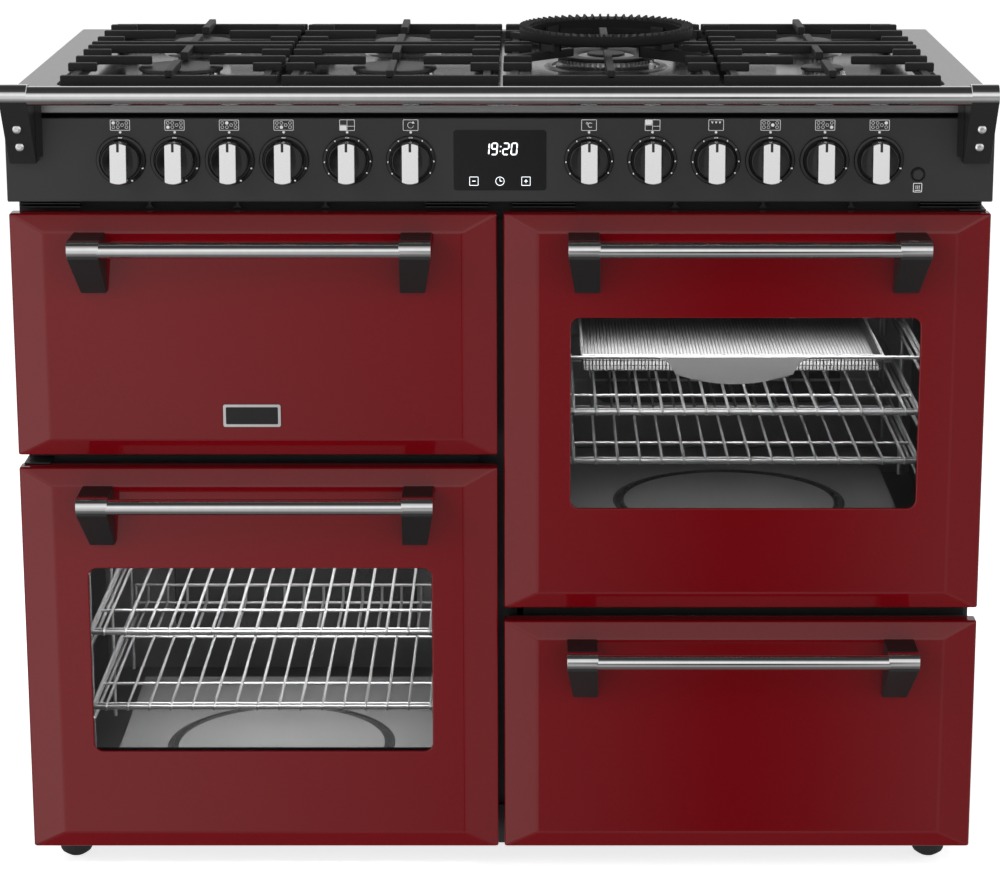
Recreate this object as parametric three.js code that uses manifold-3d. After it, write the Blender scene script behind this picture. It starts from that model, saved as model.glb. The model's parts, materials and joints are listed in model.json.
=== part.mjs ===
// A freestanding double-width range: seven gas burners, a drop-down top oven, a side-hinged
// oven below it, a tall side-hinged oven and a storage drawer. Millimetres, X right, Y back, Z up.
// The origin is on the floor, at the middle of the range's plan. Inside the group, Y is the
// depth behind the plane of the doors' outer edges, and the group shifts it to that origin.
import * as THREE from "three";
import { ConvexGeometry } from "three/addons/geometries/ConvexGeometry.js";
import { mergeVertices } from "three/addons/utils/BufferGeometryUtils.js";
import Module from "manifold-3d";

const wasm = await Module();
wasm.setup();

// Overall sizes
const width = 1100;
const hobDepth = 606;
const hobHeight = 923;

// Gaps between pieces that meet, and between pieces that move past each other
const clearance = 0.3;
const runningGap = 0.5;
const through = 5; // how far a cutting solid runs past the face it cuts

// Body shell
const sheet = 2;
const sideInset = 5;
const bodyFront = 48;
const bodyBack = hobDepth - 6;
const bodyHalf = width / 2 - sideInset;
const sideReturn = 15;
const baseBottom = 48;
const deckRise = 8; // the left column's deck over the lower door's gap
const deckDrop = 4; // the right column's deck under the tall door's edge
const frameGap = 0.5;

// Hob plate
const trimHeight = 20;
const wellDepth = 12;
const wellSideMargin = 45;
const wellFrontMargin = 76;
const wellBackMargin = 21;
const wellFloor = hobHeight - wellDepth;

// Control panel
const trimGap = 4.5;
const panelHeight = 94.8;
const panelDepth = bodyFront - clearance;
const panelTop = hobHeight - trimHeight - trimGap;
const panelBottom = panelTop - panelHeight;

// Knobs and push button
const dialRadius = 22;
const dialFront = -12;
const dialBack = -4;
const gripWidth = 18.5;
const gripLength = 46;
const gripFront = -30;
const shaftRadius = 4;
const shaftEnd = 14;
const seat = 1; // how far joined pieces of one casting run into each other
const knobDrop = 47.5;
const firstKnob = 99;
const ovenKnobPitch = 70.5;
const burnerKnobPitch = 60.5;
const buttonRadius = 6;
const buttonFront = -2;
const buttonInset = 84.4;
const buttonDrop = 63.5;

// Towel rail and its brackets
const railRadius = 10.5;
const railForward = 56;
const railRise = 8;
const bracketWidth = 31;
const bracketInset = 6;
const bracketDrop = 49;
const bracketFoot = 15;

// Doors
const doorMargin = 1;
const centreGap = 7;
const doorBottom = 35.5;
const ventGap = 12.9;
const doorTop = panelBottom - ventGap;
const grillDoorHeight = 279.4;
const leftDoorGap = 14.5;
const drawerFrontHeight = 278;
const rightDoorGap = 15.5;
const panelThickness = 20;
const skin = 2;
const raise = 7.5;
const sideBevel = 38.5;
const endBevel = 20.3;
const innerThickness = 19.7;
const innerInset = 6;
const windowSideMargin = 76;
const windowBottomMargin = 121.3;
const windowTopMargin = 118.3;
const windowCorner = 10;
const glassLap = 12;
const glassThickness = 4;

// Door handles
const handleLength = 401;
const handleDrop = 31.5;
const handleForward = 55;
const handleRadius = 9;
const handleBracketWidth = 35.5;
const handleBracketRise = 13;
const handleBracketDrop = 56;
const handleBracketToe = 18;

// Cavities, their shelves and the tray
const cavityWidth = 430;
const cavityWall = 2;
const cavityFlange = 20;
const cavityBackMargin = 100;
const grillFloorMargin = 36.6;
const grillCeilingMargin = 42.8;
const leftFloorMargin = 39.5;
const leftCeilingMargin = 27;
const rightFloorMargin = 61;
const rightCeilingMargin = 46;
const ledgeWidth = 8;
const ledgeHeight = 4;
const ledgeFront = 12;
const shelfWire = 4;
const shelfBars = 14;
const shelfFrontMargin = 12;
const shelfBackMargin = 30;
const trayDepth = 14;
const trayTagWidth = 172;
const trayTagDrop = 28;

// Storage drawer
const drawerDepth = 430;
const drawerSideMargin = 30;
const drawerFloorMargin = 34;
const drawerTopMargin = 40;
const drawerHole = 15;

// Pan supports, burners and wok ring
const fingerTop = hobHeight + 16.5;
const fingerHeight = 10;
const frameBarTop = hobHeight + 10.5;
const frameBarBottom = hobHeight - 2;
const barWidth = 9;
const supportFront = 86;
const supportBack = hobDepth - 29;
const supportEnd = 50;
const supportGap = 5;
const burnerFrontOffset = 128;
const burnerBackOffset = 120;
const fingerReach = 34;
const stubLength = 33;
const stubSpread = 61;
const middlePairHalf = 16;
const capThickness = 5;
const capEdgeDrop = 1.5;
const capEdgeSlope = 3;
const crownShare = 0.86; // of the cap's radius
const crownFlange = 3;
const capTop = hobHeight + 5;
const largeCap = 49.5;
const mediumCap = 35.5;
const smallCap = 25;
const wokCap = 62;
const wokFingerReach = 60;
const wokRingRadius = 105;
const wokRingWidth = 15;
const wokRingTop = hobHeight + 40;
const wokRingHeight = 16;
const wokLegRadius = 98;
const wokLegWidth = 12;

// Levelling feet
const footRadius = 19;
const footPadRadius = 9.5;
const footTaper = 9;
const footStemRadius = 8;
const footCollarDrop = 14;
const footInset = 40;
const footFrontMargin = 67;
const footBackMargin = 66;

// Faceting
const rodSides = 12;
const knobSides = 20;
const burnerSides = 18;
const ringSides = 32;
const footSides = 16;

// Values worked out from the ones above
const innerEdge = centreGap / 2;
const outerEdge = width / 2 - doorMargin;
const columnCentre = (innerEdge + outerEdge) / 2;
const leftDoorTop = doorTop - grillDoorHeight - leftDoorGap;
const tallDoorBottom = doorBottom + drawerFrontHeight + rightDoorGap;
const doorBack = panelThickness + clearance + innerThickness;
const railReach = railForward + railRadius;
const knobHeight = panelTop - knobDrop;
const railHeight = hobHeight + railRise;
const supportMiddle = (supportFront + supportBack) / 2;
const burnerFront = supportFront + burnerFrontOffset;
const burnerBack = supportBack - burnerBackOffset;

const range = new THREE.Group();
range.position.y = -(hobDepth - railReach) / 2;

function finish(color, roughness, metalness) {
  return new THREE.MeshStandardMaterial({ color, roughness, metalness });
}

const redEnamel = finish(0x6b1118, 0.25, 0.1);
const greyEnamel = finish(0x3b3b3d, 0.45, 0.3);
const darkEnamel = finish(0x1d1d1f, 0.5, 0.2);
const steel = finish(0x9a9a9c, 0.35, 0.9);
const chrome = finish(0xd6d6d8, 0.12, 1);
const castIron = finish(0x1c1c1d, 0.7, 0.3);
const blackPlastic = finish(0x101011, 0.4, 0);
const darkGlass = finish(0x0c0c0d, 0.05, 0);

function add(name, geometry, material) {
  const mesh = new THREE.Mesh(geometry, material);
  mesh.name = name;
  range.add(mesh);
}

// Joining and cutting closed geometries
function toSolid(geometry) {
  const flat = geometry.index ? geometry.toNonIndexed() : geometry;
  const bare = new THREE.BufferGeometry();
  bare.setAttribute("position", flat.getAttribute("position"));
  const merged = mergeVertices(bare, 1e-3);
  return new wasm.Manifold(
    new wasm.Mesh({
      numProp: 3,
      vertProperties: new Float32Array(merged.attributes.position.array),
      triVerts: new Uint32Array(merged.index.array),
    }),
  );
}

function toGeometry(solid) {
  const mesh = solid.getMesh();
  const geometry = new THREE.BufferGeometry();
  geometry.setAttribute("position", new THREE.BufferAttribute(mesh.vertProperties, 3));
  geometry.setIndex(new THREE.BufferAttribute(mesh.triVerts, 1));
  return geometry;
}

function joinSolids(geometries) {
  return geometries.map(toSolid).reduce((whole, next) => whole.add(next));
}

function join(...geometries) {
  return toGeometry(joinSolids(geometries));
}

function cut(geometry, ...tools) {
  return toGeometry(toSolid(geometry).subtract(joinSolids(tools)));
}

// Basic closed shapes, given by their lowest and highest X, Y and Z
function block(x0, x1, y0, y1, z0, z1) {
  const geometry = new THREE.BoxGeometry(x1 - x0, y1 - y0, z1 - z0);
  return geometry.translate((x0 + x1) / 2, (y0 + y1) / 2, (z0 + z1) / 2);
}

function rodX(x0, x1, y, z, radius, sides) {
  const geometry = new THREE.CylinderGeometry(radius, radius, x1 - x0, sides);
  return geometry.rotateZ(Math.PI / 2).translate((x0 + x1) / 2, y, z);
}

function rodY(x, y0, y1, z, radius, sides) {
  const geometry = new THREE.CylinderGeometry(radius, radius, y1 - y0, sides);
  return geometry.translate(x, (y0 + y1) / 2, z);
}

function turned(profile, x, y, sides) {
  const points = profile.map(([radius, height]) => new THREE.Vector2(radius, height));
  return new THREE.LatheGeometry(points, sides).rotateX(Math.PI / 2).translate(x, y, 0);
}

function outline(points) {
  return new THREE.Shape(points.map(([a, b]) => new THREE.Vector2(a, b)));
}

// A profile in the YZ plane, extruded from x0 to x1
function profileAlongX(points, x0, x1) {
  const geometry = new THREE.ExtrudeGeometry(outline(points), {
    depth: x1 - x0,
    bevelEnabled: false,
  });
  const turn = new THREE.Matrix4().makeBasis(
    new THREE.Vector3(0, 1, 0),
    new THREE.Vector3(0, 0, 1),
    new THREE.Vector3(1, 0, 0),
  );
  return geometry.applyMatrix4(turn).translate(x0, 0, 0);
}

// A rounded rectangle in the XZ plane, extruded from y0 to y1
function roundedPlate(x0, x1, y0, y1, z0, z1, radius) {
  const shape = new THREE.Shape();
  shape.moveTo(x0 + radius, z0);
  shape.lineTo(x1 - radius, z0);
  shape.absarc(x1 - radius, z0 + radius, radius, -Math.PI / 2, 0);
  shape.lineTo(x1, z1 - radius);
  shape.absarc(x1 - radius, z1 - radius, radius, 0, Math.PI / 2);
  shape.lineTo(x0 + radius, z1);
  shape.absarc(x0 + radius, z1 - radius, radius, Math.PI / 2, Math.PI);
  shape.lineTo(x0, z0 + radius);
  shape.absarc(x0 + radius, z0 + radius, radius, Math.PI, Math.PI * 1.5);
  const geometry = new THREE.ExtrudeGeometry(shape, {
    depth: y1 - y0,
    bevelEnabled: false,
    curveSegments: 3,
  });
  return geometry.rotateX(Math.PI / 2).translate(0, y1, 0);
}

// A bar of rectangular section between two points of the plan
function barBetween(from, to, barThickness, z0, z1) {
  const dx = to[0] - from[0];
  const dy = to[1] - from[1];
  const geometry = new THREE.BoxGeometry(Math.hypot(dx, dy), barThickness, z1 - z0);
  geometry.rotateZ(Math.atan2(dy, dx));
  return geometry.translate((from[0] + to[0]) / 2, (from[1] + to[1]) / 2, (z0 + z1) / 2);
}

// The X span of a piece in one column, from its distances to the column's two edges
function columnSpan(side, fromInner, fromOuter) {
  const near = side * (innerEdge + fromInner);
  const far = side * (outerEdge - fromOuter);
  return side > 0 ? [near, far] : [far, near];
}

// Body shell
function addSidePanels() {
  const top = hobHeight - sheet - clearance;
  for (const [name, side] of [["side_panel_left", -1], ["side_panel_right", 1]]) {
    const outer = side * bodyHalf;
    const [x0, x1] = [outer, outer - side * sheet].sort((a, b) => a - b);
    const [r0, r1] = [outer, outer - side * sideReturn].sort((a, b) => a - b);
    const wall = block(x0, x1, bodyFront, bodyBack - sheet - clearance, baseBottom, top);
    const frontReturn = block(r0, r1, bodyFront, bodyFront + sheet, baseBottom, top);
    add(name, join(wall, frontReturn), greyEnamel);
  }
}

function addBackPanel() {
  const top = hobHeight - sheet - clearance;
  const plate = block(-bodyHalf, bodyHalf, bodyBack - sheet, bodyBack, baseBottom, top);
  add("back_panel", plate, steel);
}

const frameFront = bodyFront + cavityWall + frameGap;
const frameHalf = bodyHalf - sheet - clearance;
const frameTop = wellFloor - sheet - clearance;
const rearLimit = bodyBack - sheet - clearance;

// The cavities: which column, their floor and ceiling, and where their ledges are
const cavities = [
  {
    name: "grill_cavity",
    side: -1,
    floor: doorTop - grillDoorHeight + grillFloorMargin,
    ceiling: doorTop - grillCeilingMargin,
    levels: [0.4],
  },
  {
    name: "left_oven_cavity",
    side: -1,
    floor: doorBottom + leftFloorMargin,
    ceiling: leftDoorTop - leftCeilingMargin,
    levels: [0.275, 0.51],
  },
  {
    name: "right_oven_cavity",
    side: 1,
    floor: tallDoorBottom + rightFloorMargin,
    ceiling: doorTop - rightCeilingMargin,
    levels: [0.268, 0.432, 0.62],
  },
];

function cavitySpan(cavity) {
  const centre = cavity.side * columnCentre;
  return [centre - cavityWidth / 2, centre + cavityWidth / 2];
}

function levelHeight(cavity, share) {
  return cavity.floor + share * (cavity.ceiling - cavity.floor);
}

function cavityBlock(cavity, grow, y0, y1) {
  const [x0, x1] = cavitySpan(cavity);
  return block(x0 - grow, x1 + grow, y0, y1, cavity.floor - grow, cavity.ceiling + grow);
}

function addChassis() {
  const frameBack = frameFront + sheet;
  const cutFront = frameFront - through;
  const cutBack = frameBack + through;
  const plate = block(-frameHalf, frameHalf, frameFront, frameBack, baseBottom, frameTop);
  const holes = cavities.map((cavity) =>
    cavityBlock(cavity, cavityWall + runningGap, cutFront, cutBack),
  );
  const [d0, d1] = columnSpan(1, drawerHole, drawerHole + sideInset);
  const drawerTop = tallDoorBottom - drawerHole;
  holes.push(block(d0, d1, cutFront, cutBack, doorBottom + drawerHole + sheet, drawerTop));
  const frame = cut(plate, ...holes);
  const leftShelf = leftDoorTop + leftDoorGap + deckRise;
  const rightShelf = tallDoorBottom - deckDrop;
  const front = frameFront + sheet / 2;
  const base = block(-frameHalf, frameHalf, front, rearLimit, baseBottom, baseBottom + sheet);
  const divider = block(-sheet / 2, sheet / 2, front, rearLimit, baseBottom, frameTop);
  const leftDeck = block(-frameHalf, 0, front, rearLimit, leftShelf, leftShelf + sheet);
  const rightDeck = block(0, frameHalf, front, rearLimit, rightShelf, rightShelf + sheet);
  add("chassis", join(frame, base, divider, leftDeck, rightDeck), greyEnamel);
}

function addHobPlate() {
  const half = width / 2;
  const wellHalf = half - wellSideMargin;
  const wellBack = hobDepth - wellBackMargin;
  const under = hobHeight - trimHeight;
  const outer = block(-half, half, 0, hobDepth, under, hobHeight);
  const well = block(
    -wellHalf, wellHalf, wellFrontMargin, wellBack, wellFloor, hobHeight + through,
  );
  const hollow = block(
    -half + sheet, half - sheet, sheet, hobDepth - sheet, under - through, hobHeight - sheet,
  );
  const wellShell = block(
    -wellHalf - sheet, wellHalf + sheet, wellFrontMargin - sheet, wellBack + sheet,
    wellFloor - sheet, hobHeight + through,
  );
  add("hob_plate", cut(outer, well, cut(hollow, wellShell)), steel);
}

// Control panel, knobs and button
const burnerKnobStart = firstKnob + 2 * ovenKnobPitch;
const knobs = [
  ["knob_burner_back_left", -burnerKnobStart - 3 * burnerKnobPitch],
  ["knob_burner_front_left", -burnerKnobStart - 2 * burnerKnobPitch],
  ["knob_burner_back_centre", -burnerKnobStart - burnerKnobPitch],
  ["knob_burner_front_centre", -burnerKnobStart],
  ["knob_left_oven", -firstKnob - ovenKnobPitch],
  ["knob_right_oven_mode", -firstKnob],
  ["knob_right_oven_heat", firstKnob],
  ["knob_top_oven", firstKnob + ovenKnobPitch],
  ["knob_grill", burnerKnobStart],
  ["knob_burner_wok", burnerKnobStart + burnerKnobPitch],
  ["knob_burner_front_right", burnerKnobStart + 2 * burnerKnobPitch],
  ["knob_burner_back_right", burnerKnobStart + 3 * burnerKnobPitch],
];
const buttonX = width / 2 - buttonInset;
const buttonHeight = panelTop - buttonDrop;

function addControlPanel() {
  const half = width / 2;
  const shell = block(-half, half, 0, panelDepth, panelBottom, panelTop);
  const hollow = block(
    -half + sheet, half - sheet, sheet, panelDepth + through, panelBottom + sheet, panelTop - sheet,
  );
  const shaftHoles = knobs.map(([, x]) =>
    rodY(x, -through, sheet + through, knobHeight, shaftRadius + runningGap, rodSides),
  );
  const buttonHole = rodY(
    buttonX, -through, sheet + through, buttonHeight, buttonRadius + runningGap, rodSides,
  );
  add("control_panel", cut(shell, hollow, ...shaftHoles, buttonHole), greyEnamel);
}

function addKnobs() {
  for (const [name, x] of knobs) {
    const dial = rodY(x, dialFront, dialBack, knobHeight, dialRadius, knobSides);
    const grip = block(
      x - gripWidth / 2, x + gripWidth / 2, gripFront, dialFront + seat,
      knobHeight - gripLength / 2, knobHeight + gripLength / 2,
    );
    const shaft = rodY(x, dialBack - seat, shaftEnd, knobHeight, shaftRadius, rodSides);
    add(name, join(dial, grip, shaft), chrome);
  }
}

function addButton() {
  const stem = rodY(buttonX, buttonFront, shaftEnd, buttonHeight, buttonRadius, rodSides);
  add("panel_button", stem, blackPlastic);
}

// Towel rail
function addRail() {
  const outer = width / 2 - bracketInset;
  const inner = outer - bracketWidth;
  const bar = rodX(
    -inner + clearance, inner - clearance, -railForward, railHeight, railRadius, rodSides,
  );
  add("towel_rail", bar, chrome);
  const foot = panelTop - bracketDrop;
  const profile = [
    [-clearance, foot],
    [-clearance, railHeight - railRadius / 2],
    [-railForward + railRadius, railHeight + railRadius / 2],
    [-railForward + railRadius / 2, railHeight + railRadius],
    [-railForward - railRadius / 2, railHeight + railRadius],
    [-railReach, railHeight + railRadius / 2],
    [-railReach, railHeight - railRadius / 2],
    [-bracketFoot, foot],
  ];
  add("rail_bracket_left", profileAlongX(profile, -outer, -inner), blackPlastic);
  add("rail_bracket_right", profileAlongX(profile, inner, outer), blackPlastic);
}

// Cavities
function addCavities() {
  for (const cavity of cavities) {
    const [x0, x1] = cavitySpan(cavity);
    const back = bodyBack - cavityBackMargin;
    const shell = cavityBlock(cavity, cavityWall, bodyFront, back + cavityWall);
    const flange = cavityBlock(cavity, cavityFlange, bodyFront, bodyFront + cavityWall);
    const box = cut(join(shell, flange), cavityBlock(cavity, 0, bodyFront - through, back));
    const ledges = cavity.levels.flatMap((share) => {
      const top = levelHeight(cavity, share);
      const y0 = bodyFront + ledgeFront;
      return [
        block(x0 - 1, x0 + ledgeWidth, y0, back - ledgeFront, top - ledgeHeight, top),
        block(x1 - ledgeWidth, x1 + 1, y0, back - ledgeFront, top - ledgeHeight, top),
      ];
    });
    add(cavity.name, join(box, ...ledges), darkEnamel);
  }
}

// A flat wire shelf: bars that run front to back in a rectangular frame
function grille(x0, x1, y0, y1, z) {
  const plate = block(x0, x1, y0, y1, z, z + shelfWire);
  const pitch = (x1 - x0 - shelfWire) / shelfBars;
  const slots = [];
  for (let i = 0; i < shelfBars; i += 1) {
    const left = x0 + shelfWire + i * pitch;
    const right = left + pitch - shelfWire;
    slots.push(block(left, right, y0 + shelfWire, y1 - shelfWire, z - through, z + through * 2));
  }
  return cut(plate, ...slots);
}

function addShelf(name, cavity, share) {
  const [x0, x1] = cavitySpan(cavity);
  const y0 = bodyFront + shelfFrontMargin;
  const y1 = bodyBack - cavityBackMargin - shelfBackMargin;
  const z = levelHeight(cavity, share) + clearance;
  add(name, grille(x0 + runningGap, x1 - runningGap, y0, y1, z), chrome);
}

function addShelves() {
  const [, left, right] = cavities;
  addShelf("left_oven_lower_shelf", left, left.levels[0]);
  addShelf("left_oven_upper_shelf", left, left.levels[1]);
  addShelf("right_oven_lower_shelf", right, right.levels[0]);
  addShelf("right_oven_upper_shelf", right, right.levels[1]);
}

// A shallow basket that hangs by its rim from the top ledges, with a tag plate at its front
function addTray() {
  const cavity = cavities[2];
  const [x0, x1] = cavitySpan(cavity);
  const y0 = bodyFront + shelfFrontMargin;
  const y1 = bodyBack - cavityBackMargin - shelfBackMargin;
  const rim = levelHeight(cavity, cavity.levels[2]) + clearance;
  const wall = ledgeWidth + runningGap;
  const bowl = block(x0 + wall, x1 - wall, y0, y1, rim - trayDepth, rim + sheet);
  const lip = block(x0 + runningGap, x1 - runningGap, y0, y1, rim, rim + sheet);
  const inside = block(
    x0 + wall + sheet, x1 - wall - sheet, y0 + sheet, y1 - sheet,
    rim - trayDepth + sheet, rim + sheet + through,
  );
  const centre = cavity.side * columnCentre;
  const tag = block(
    centre - trayTagWidth / 2, centre + trayTagWidth / 2, y0 - sheet, y0 + sheet / 2,
    rim - trayTagDrop, rim,
  );
  add("air_fry_tray", join(cut(join(bowl, lip), inside), tag), steel);
}

// Doors: a folded outer skin with a raised face
function raisedSolid(x0, x1, z0, z1, inset) {
  const points = [];
  const rims = [
    [inset, inset, panelThickness + (inset > 0 ? through : 0)],
    [inset, inset, inset],
    [sideBevel + inset / 2, endBevel + inset / 2, inset - raise],
  ];
  for (const [dx, dz, y] of rims) {
    for (const x of [x0 + dx, x1 - dx]) {
      for (const z of [z0 + dz, z1 - dz]) points.push(new THREE.Vector3(x, y, z));
    }
  }
  return new ConvexGeometry(points);
}

function doorSkin(x0, x1, z0, z1) {
  return cut(raisedSolid(x0, x1, z0, z1, 0), raisedSolid(x0, x1, z0, z1, skin));
}

function windowPlate(span, z0, z1, grow, y0, y1) {
  const left = span[0] + windowSideMargin - grow;
  const right = span[1] - windowSideMargin + grow;
  const bottom = z0 + windowBottomMargin - grow;
  const top = z1 - windowTopMargin + grow;
  return roundedPlate(left, right, y0, y1, bottom, top, windowCorner);
}

function addHandle(name, side, z1) {
  const centre = side * columnCentre;
  const half = handleLength / 2;
  const z = z1 - handleDrop;
  const face = -raise - clearance;
  const reach = -handleForward - handleRadius;
  const profile = [
    [face, z - handleBracketDrop],
    [face, z + handleBracketRise],
    [reach + handleRadius, z + handleBracketRise],
    [reach, z + handleRadius],
    [reach, z - handleRadius],
    [-handleBracketToe, z - handleBracketDrop],
  ];
  const x0 = centre - half;
  const x1 = centre + half;
  const bar = rodX(x0 + 1, x1 - 1, -handleForward, z, handleRadius, rodSides);
  const left = profileAlongX(profile, x0, x0 + handleBracketWidth);
  const right = profileAlongX(profile, x1 - handleBracketWidth, x1);
  add(name, join(bar, left, right), chrome);
}

function addGlazedDoor(prefix, side, z0, z1) {
  const span = columnSpan(side, 0, 0);
  const opening = windowPlate(span, z0, z1, 0, -raise - through, through);
  add(prefix + "_panel", cut(doorSkin(span[0], span[1], z0, z1), opening), redEnamel);
  const glassFront = skin - raise + clearance;
  const glassBack = glassFront + glassThickness;
  add(prefix + "_glass", windowPlate(span, z0, z1, glassLap, glassFront, glassBack), darkGlass);
  const innerFront = panelThickness + clearance;
  const collar = windowPlate(span, z0, z1, glassLap, glassBack + clearance, innerFront + 1);
  const hole = windowPlate(span, z0, z1, 0, -through, doorBack + through);
  const surround = windowPlate(span, z0, z1, glassLap, innerFront - through, doorBack);
  const pocket = cut(innerPocket(span, z0, z1), surround);
  const liner = cut(innerBlock(span, z0, z1), pocket);
  add(prefix + "_inner", cut(join(liner, collar), hole), darkEnamel);
}

// The inner shell of a door or of the drawer's front: a tray whose open side meets the skin
function innerBlock(span, z0, z1) {
  return block(
    span[0] + innerInset, span[1] - innerInset, panelThickness + clearance, doorBack,
    z0 + innerInset, z1 - innerInset,
  );
}

function innerPocket(span, z0, z1) {
  const inset = innerInset + skin;
  return block(
    span[0] + inset, span[1] - inset, panelThickness - through, doorBack - skin,
    z0 + inset, z1 - inset,
  );
}

function innerTray(span, z0, z1) {
  return cut(innerBlock(span, z0, z1), innerPocket(span, z0, z1));
}

function addGrillDoor() {
  const span = columnSpan(-1, 0, 0);
  const z0 = doorTop - grillDoorHeight;
  add("grill_door_panel", doorSkin(span[0], span[1], z0, doorTop), redEnamel);
  add("grill_door_inner", innerTray(span, z0, doorTop), darkEnamel);
  addHandle("grill_door_handle", -1, doorTop);
}

function addDrawer() {
  const span = columnSpan(1, 0, 0);
  const z1 = doorBottom + drawerFrontHeight;
  add("drawer_front", doorSkin(span[0], span[1], doorBottom, z1), redEnamel);
  addHandle("drawer_handle", 1, z1);
  const front = innerTray(span, doorBottom, z1);
  const [x0, x1] = columnSpan(1, drawerSideMargin, drawerSideMargin);
  const floor = doorBottom + drawerFloorMargin;
  const top = z1 - drawerTopMargin;
  const end = doorBack + drawerDepth;
  const tub = block(x0, x1, doorBack - seat, end, floor, top);
  const inside = block(
    x0 + sheet, x1 - sheet, doorBack, end - sheet, floor + sheet, top + through,
  );
  add("drawer_box", join(front, cut(tub, inside)), steel);
}

function addDoors() {
  addGrillDoor();
  addGlazedDoor("left_oven_door", -1, doorBottom, leftDoorTop);
  addHandle("left_oven_door_handle", -1, leftDoorTop);
  addGlazedDoor("right_oven_door", 1, tallDoorBottom, doorTop);
  addHandle("right_oven_door_handle", 1, doorTop);
  addDrawer();
}

// Pan supports: four side by side, the third one for the wok burner
const supportSpan = (width - 2 * supportEnd - 3 * supportGap) / 4;
const supportNames = ["left", "centre_left", "wok", "right"];

function supportEdges(index) {
  const x0 = -width / 2 + supportEnd + index * (supportSpan + supportGap);
  return [x0, x0 + supportSpan];
}

function supportCentre(index) {
  const [x0, x1] = supportEdges(index);
  return (x0 + x1) / 2;
}

function supportFrame(x0, x1) {
  const rails = [
    [x0 + barWidth, supportFront, x0 + 2 * barWidth, supportBack],
    [x1 - 2 * barWidth, supportFront, x1 - barWidth, supportBack],
    [x0, supportFront, x1, supportFront + barWidth],
    [x0, supportBack - barWidth, x1, supportBack],
  ];
  const pieces = rails.map(([a, c, b, d]) => block(a, b, c, d, frameBarBottom, frameBarTop));
  for (const x of [x0 + barWidth, x1 - 2 * barWidth]) {
    for (const y of [supportFront, supportBack - barWidth]) {
      pieces.push(block(x, x + barWidth, y, y + barWidth, wellFloor + clearance, frameBarTop));
    }
  }
  return pieces;
}

function finger(x0, x1, y0, y1) {
  return block(x0, x1, y0, y1, fingerTop - fingerHeight, fingerTop);
}

function crossBar(x0, x1, y) {
  return finger(x0, x1, y - barWidth / 2, y + barWidth / 2);
}

function stubs(x0, x1, depths) {
  return depths.flatMap((y) => [
    crossBar(x0, x0 + stubLength, y),
    crossBar(x1 - stubLength, x1, y),
  ]);
}

function addPanSupport(index) {
  const [x0, x1] = supportEdges(index);
  const x = supportCentre(index);
  const half = barWidth / 2;
  const middle = [supportMiddle - middlePairHalf, supportMiddle + middlePairHalf];
  const pieces = supportFrame(x0, x1);
  for (const y of middle) pieces.push(crossBar(x0, x1, y));
  for (const y of [burnerFront, burnerBack]) {
    pieces.push(crossBar(x0, x - fingerReach, y), crossBar(x + fingerReach, x1, y));
    pieces.push(...stubs(x0, x1, [y - stubSpread, y + stubSpread]));
  }
  pieces.push(
    finger(x - half, x + half, supportFront, burnerFront - fingerReach),
    finger(x - half, x + half, burnerFront + fingerReach, middle[0]),
    finger(x - half, x + half, middle[1], burnerBack - fingerReach),
    finger(x - half, x + half, burnerBack + fingerReach, supportBack),
  );
  add("pan_support_" + supportNames[index], join(...pieces), castIron);
}

// Each diagonal finger points from a side rail at the wok burner's centre
const diagonals = [[-1, -1], [1, -1], [1, 1], [-1, 1]];

function addWokSupport(index) {
  const [x0, x1] = supportEdges(index);
  const x = supportCentre(index);
  const half = barWidth / 2;
  const run = x - x0 - barWidth;
  const tip = wokFingerReach * Math.SQRT1_2;
  const pieces = supportFrame(x0, x1);
  const depths = [burnerFront - stubSpread, burnerFront, burnerBack, burnerBack + stubSpread];
  pieces.push(...stubs(x0, x1, depths));
  for (const y of [supportMiddle - middlePairHalf, supportMiddle + middlePairHalf]) {
    pieces.push(...stubs(x0, x1, [y]));
  }
  for (const [dx, dy] of diagonals) {
    const root = [x + dx * run, supportMiddle + dy * run];
    const end = [x + dx * tip, supportMiddle + dy * tip];
    pieces.push(barBetween(root, end, barWidth, fingerTop - fingerHeight, fingerTop));
  }
  pieces.push(
    finger(x - half, x + half, supportFront, supportMiddle - wokFingerReach),
    finger(x - half, x + half, supportMiddle + wokFingerReach, supportBack),
  );
  add("pan_support_" + supportNames[index], join(...pieces), castIron);
}

function addPanSupports() {
  addPanSupport(0);
  addPanSupport(1);
  addWokSupport(2);
  addPanSupport(3);
}

function addWokRing() {
  const x = supportCentre(2);
  const bottom = wokRingTop - wokRingHeight;
  const inner = wokRingRadius - wokRingWidth;
  const ring = turned(
    [[inner, bottom], [wokRingRadius, bottom], [wokRingRadius, wokRingTop],
      [inner, wokRingTop], [inner, bottom]],
    x, supportMiddle, ringSides,
  );
  const legs = diagonals.map(([dx, dy]) => {
    const a = (wokLegRadius - wokLegWidth / 2) * Math.SQRT1_2;
    const b = (wokLegRadius + wokLegWidth / 2) * Math.SQRT1_2;
    const from = [x + dx * a, supportMiddle + dy * a];
    const to = [x + dx * b, supportMiddle + dy * b];
    return barBetween(from, to, wokLegWidth, fingerTop + clearance, bottom + seat);
  });
  add("wok_ring", join(ring, ...legs), castIron);
}

// Burners: a crown that stands in the well, under a flat cap
function addBurner(name, x, y, capRadius) {
  const base = wellFloor + clearance;
  const crownTop = capTop - capThickness;
  const crown = capRadius * crownShare;
  const foot = crown + crownFlange;
  const profile = [
    [0, base], [foot, base], [foot, base + crownFlange], [crown, base + crownFlange],
    [crown, crownTop], [capRadius, crownTop], [capRadius, capTop - capEdgeDrop],
    [capRadius - capEdgeSlope, capTop], [0, capTop],
  ];
  add(name, turned(profile, x, y, burnerSides), castIron);
}

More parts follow.
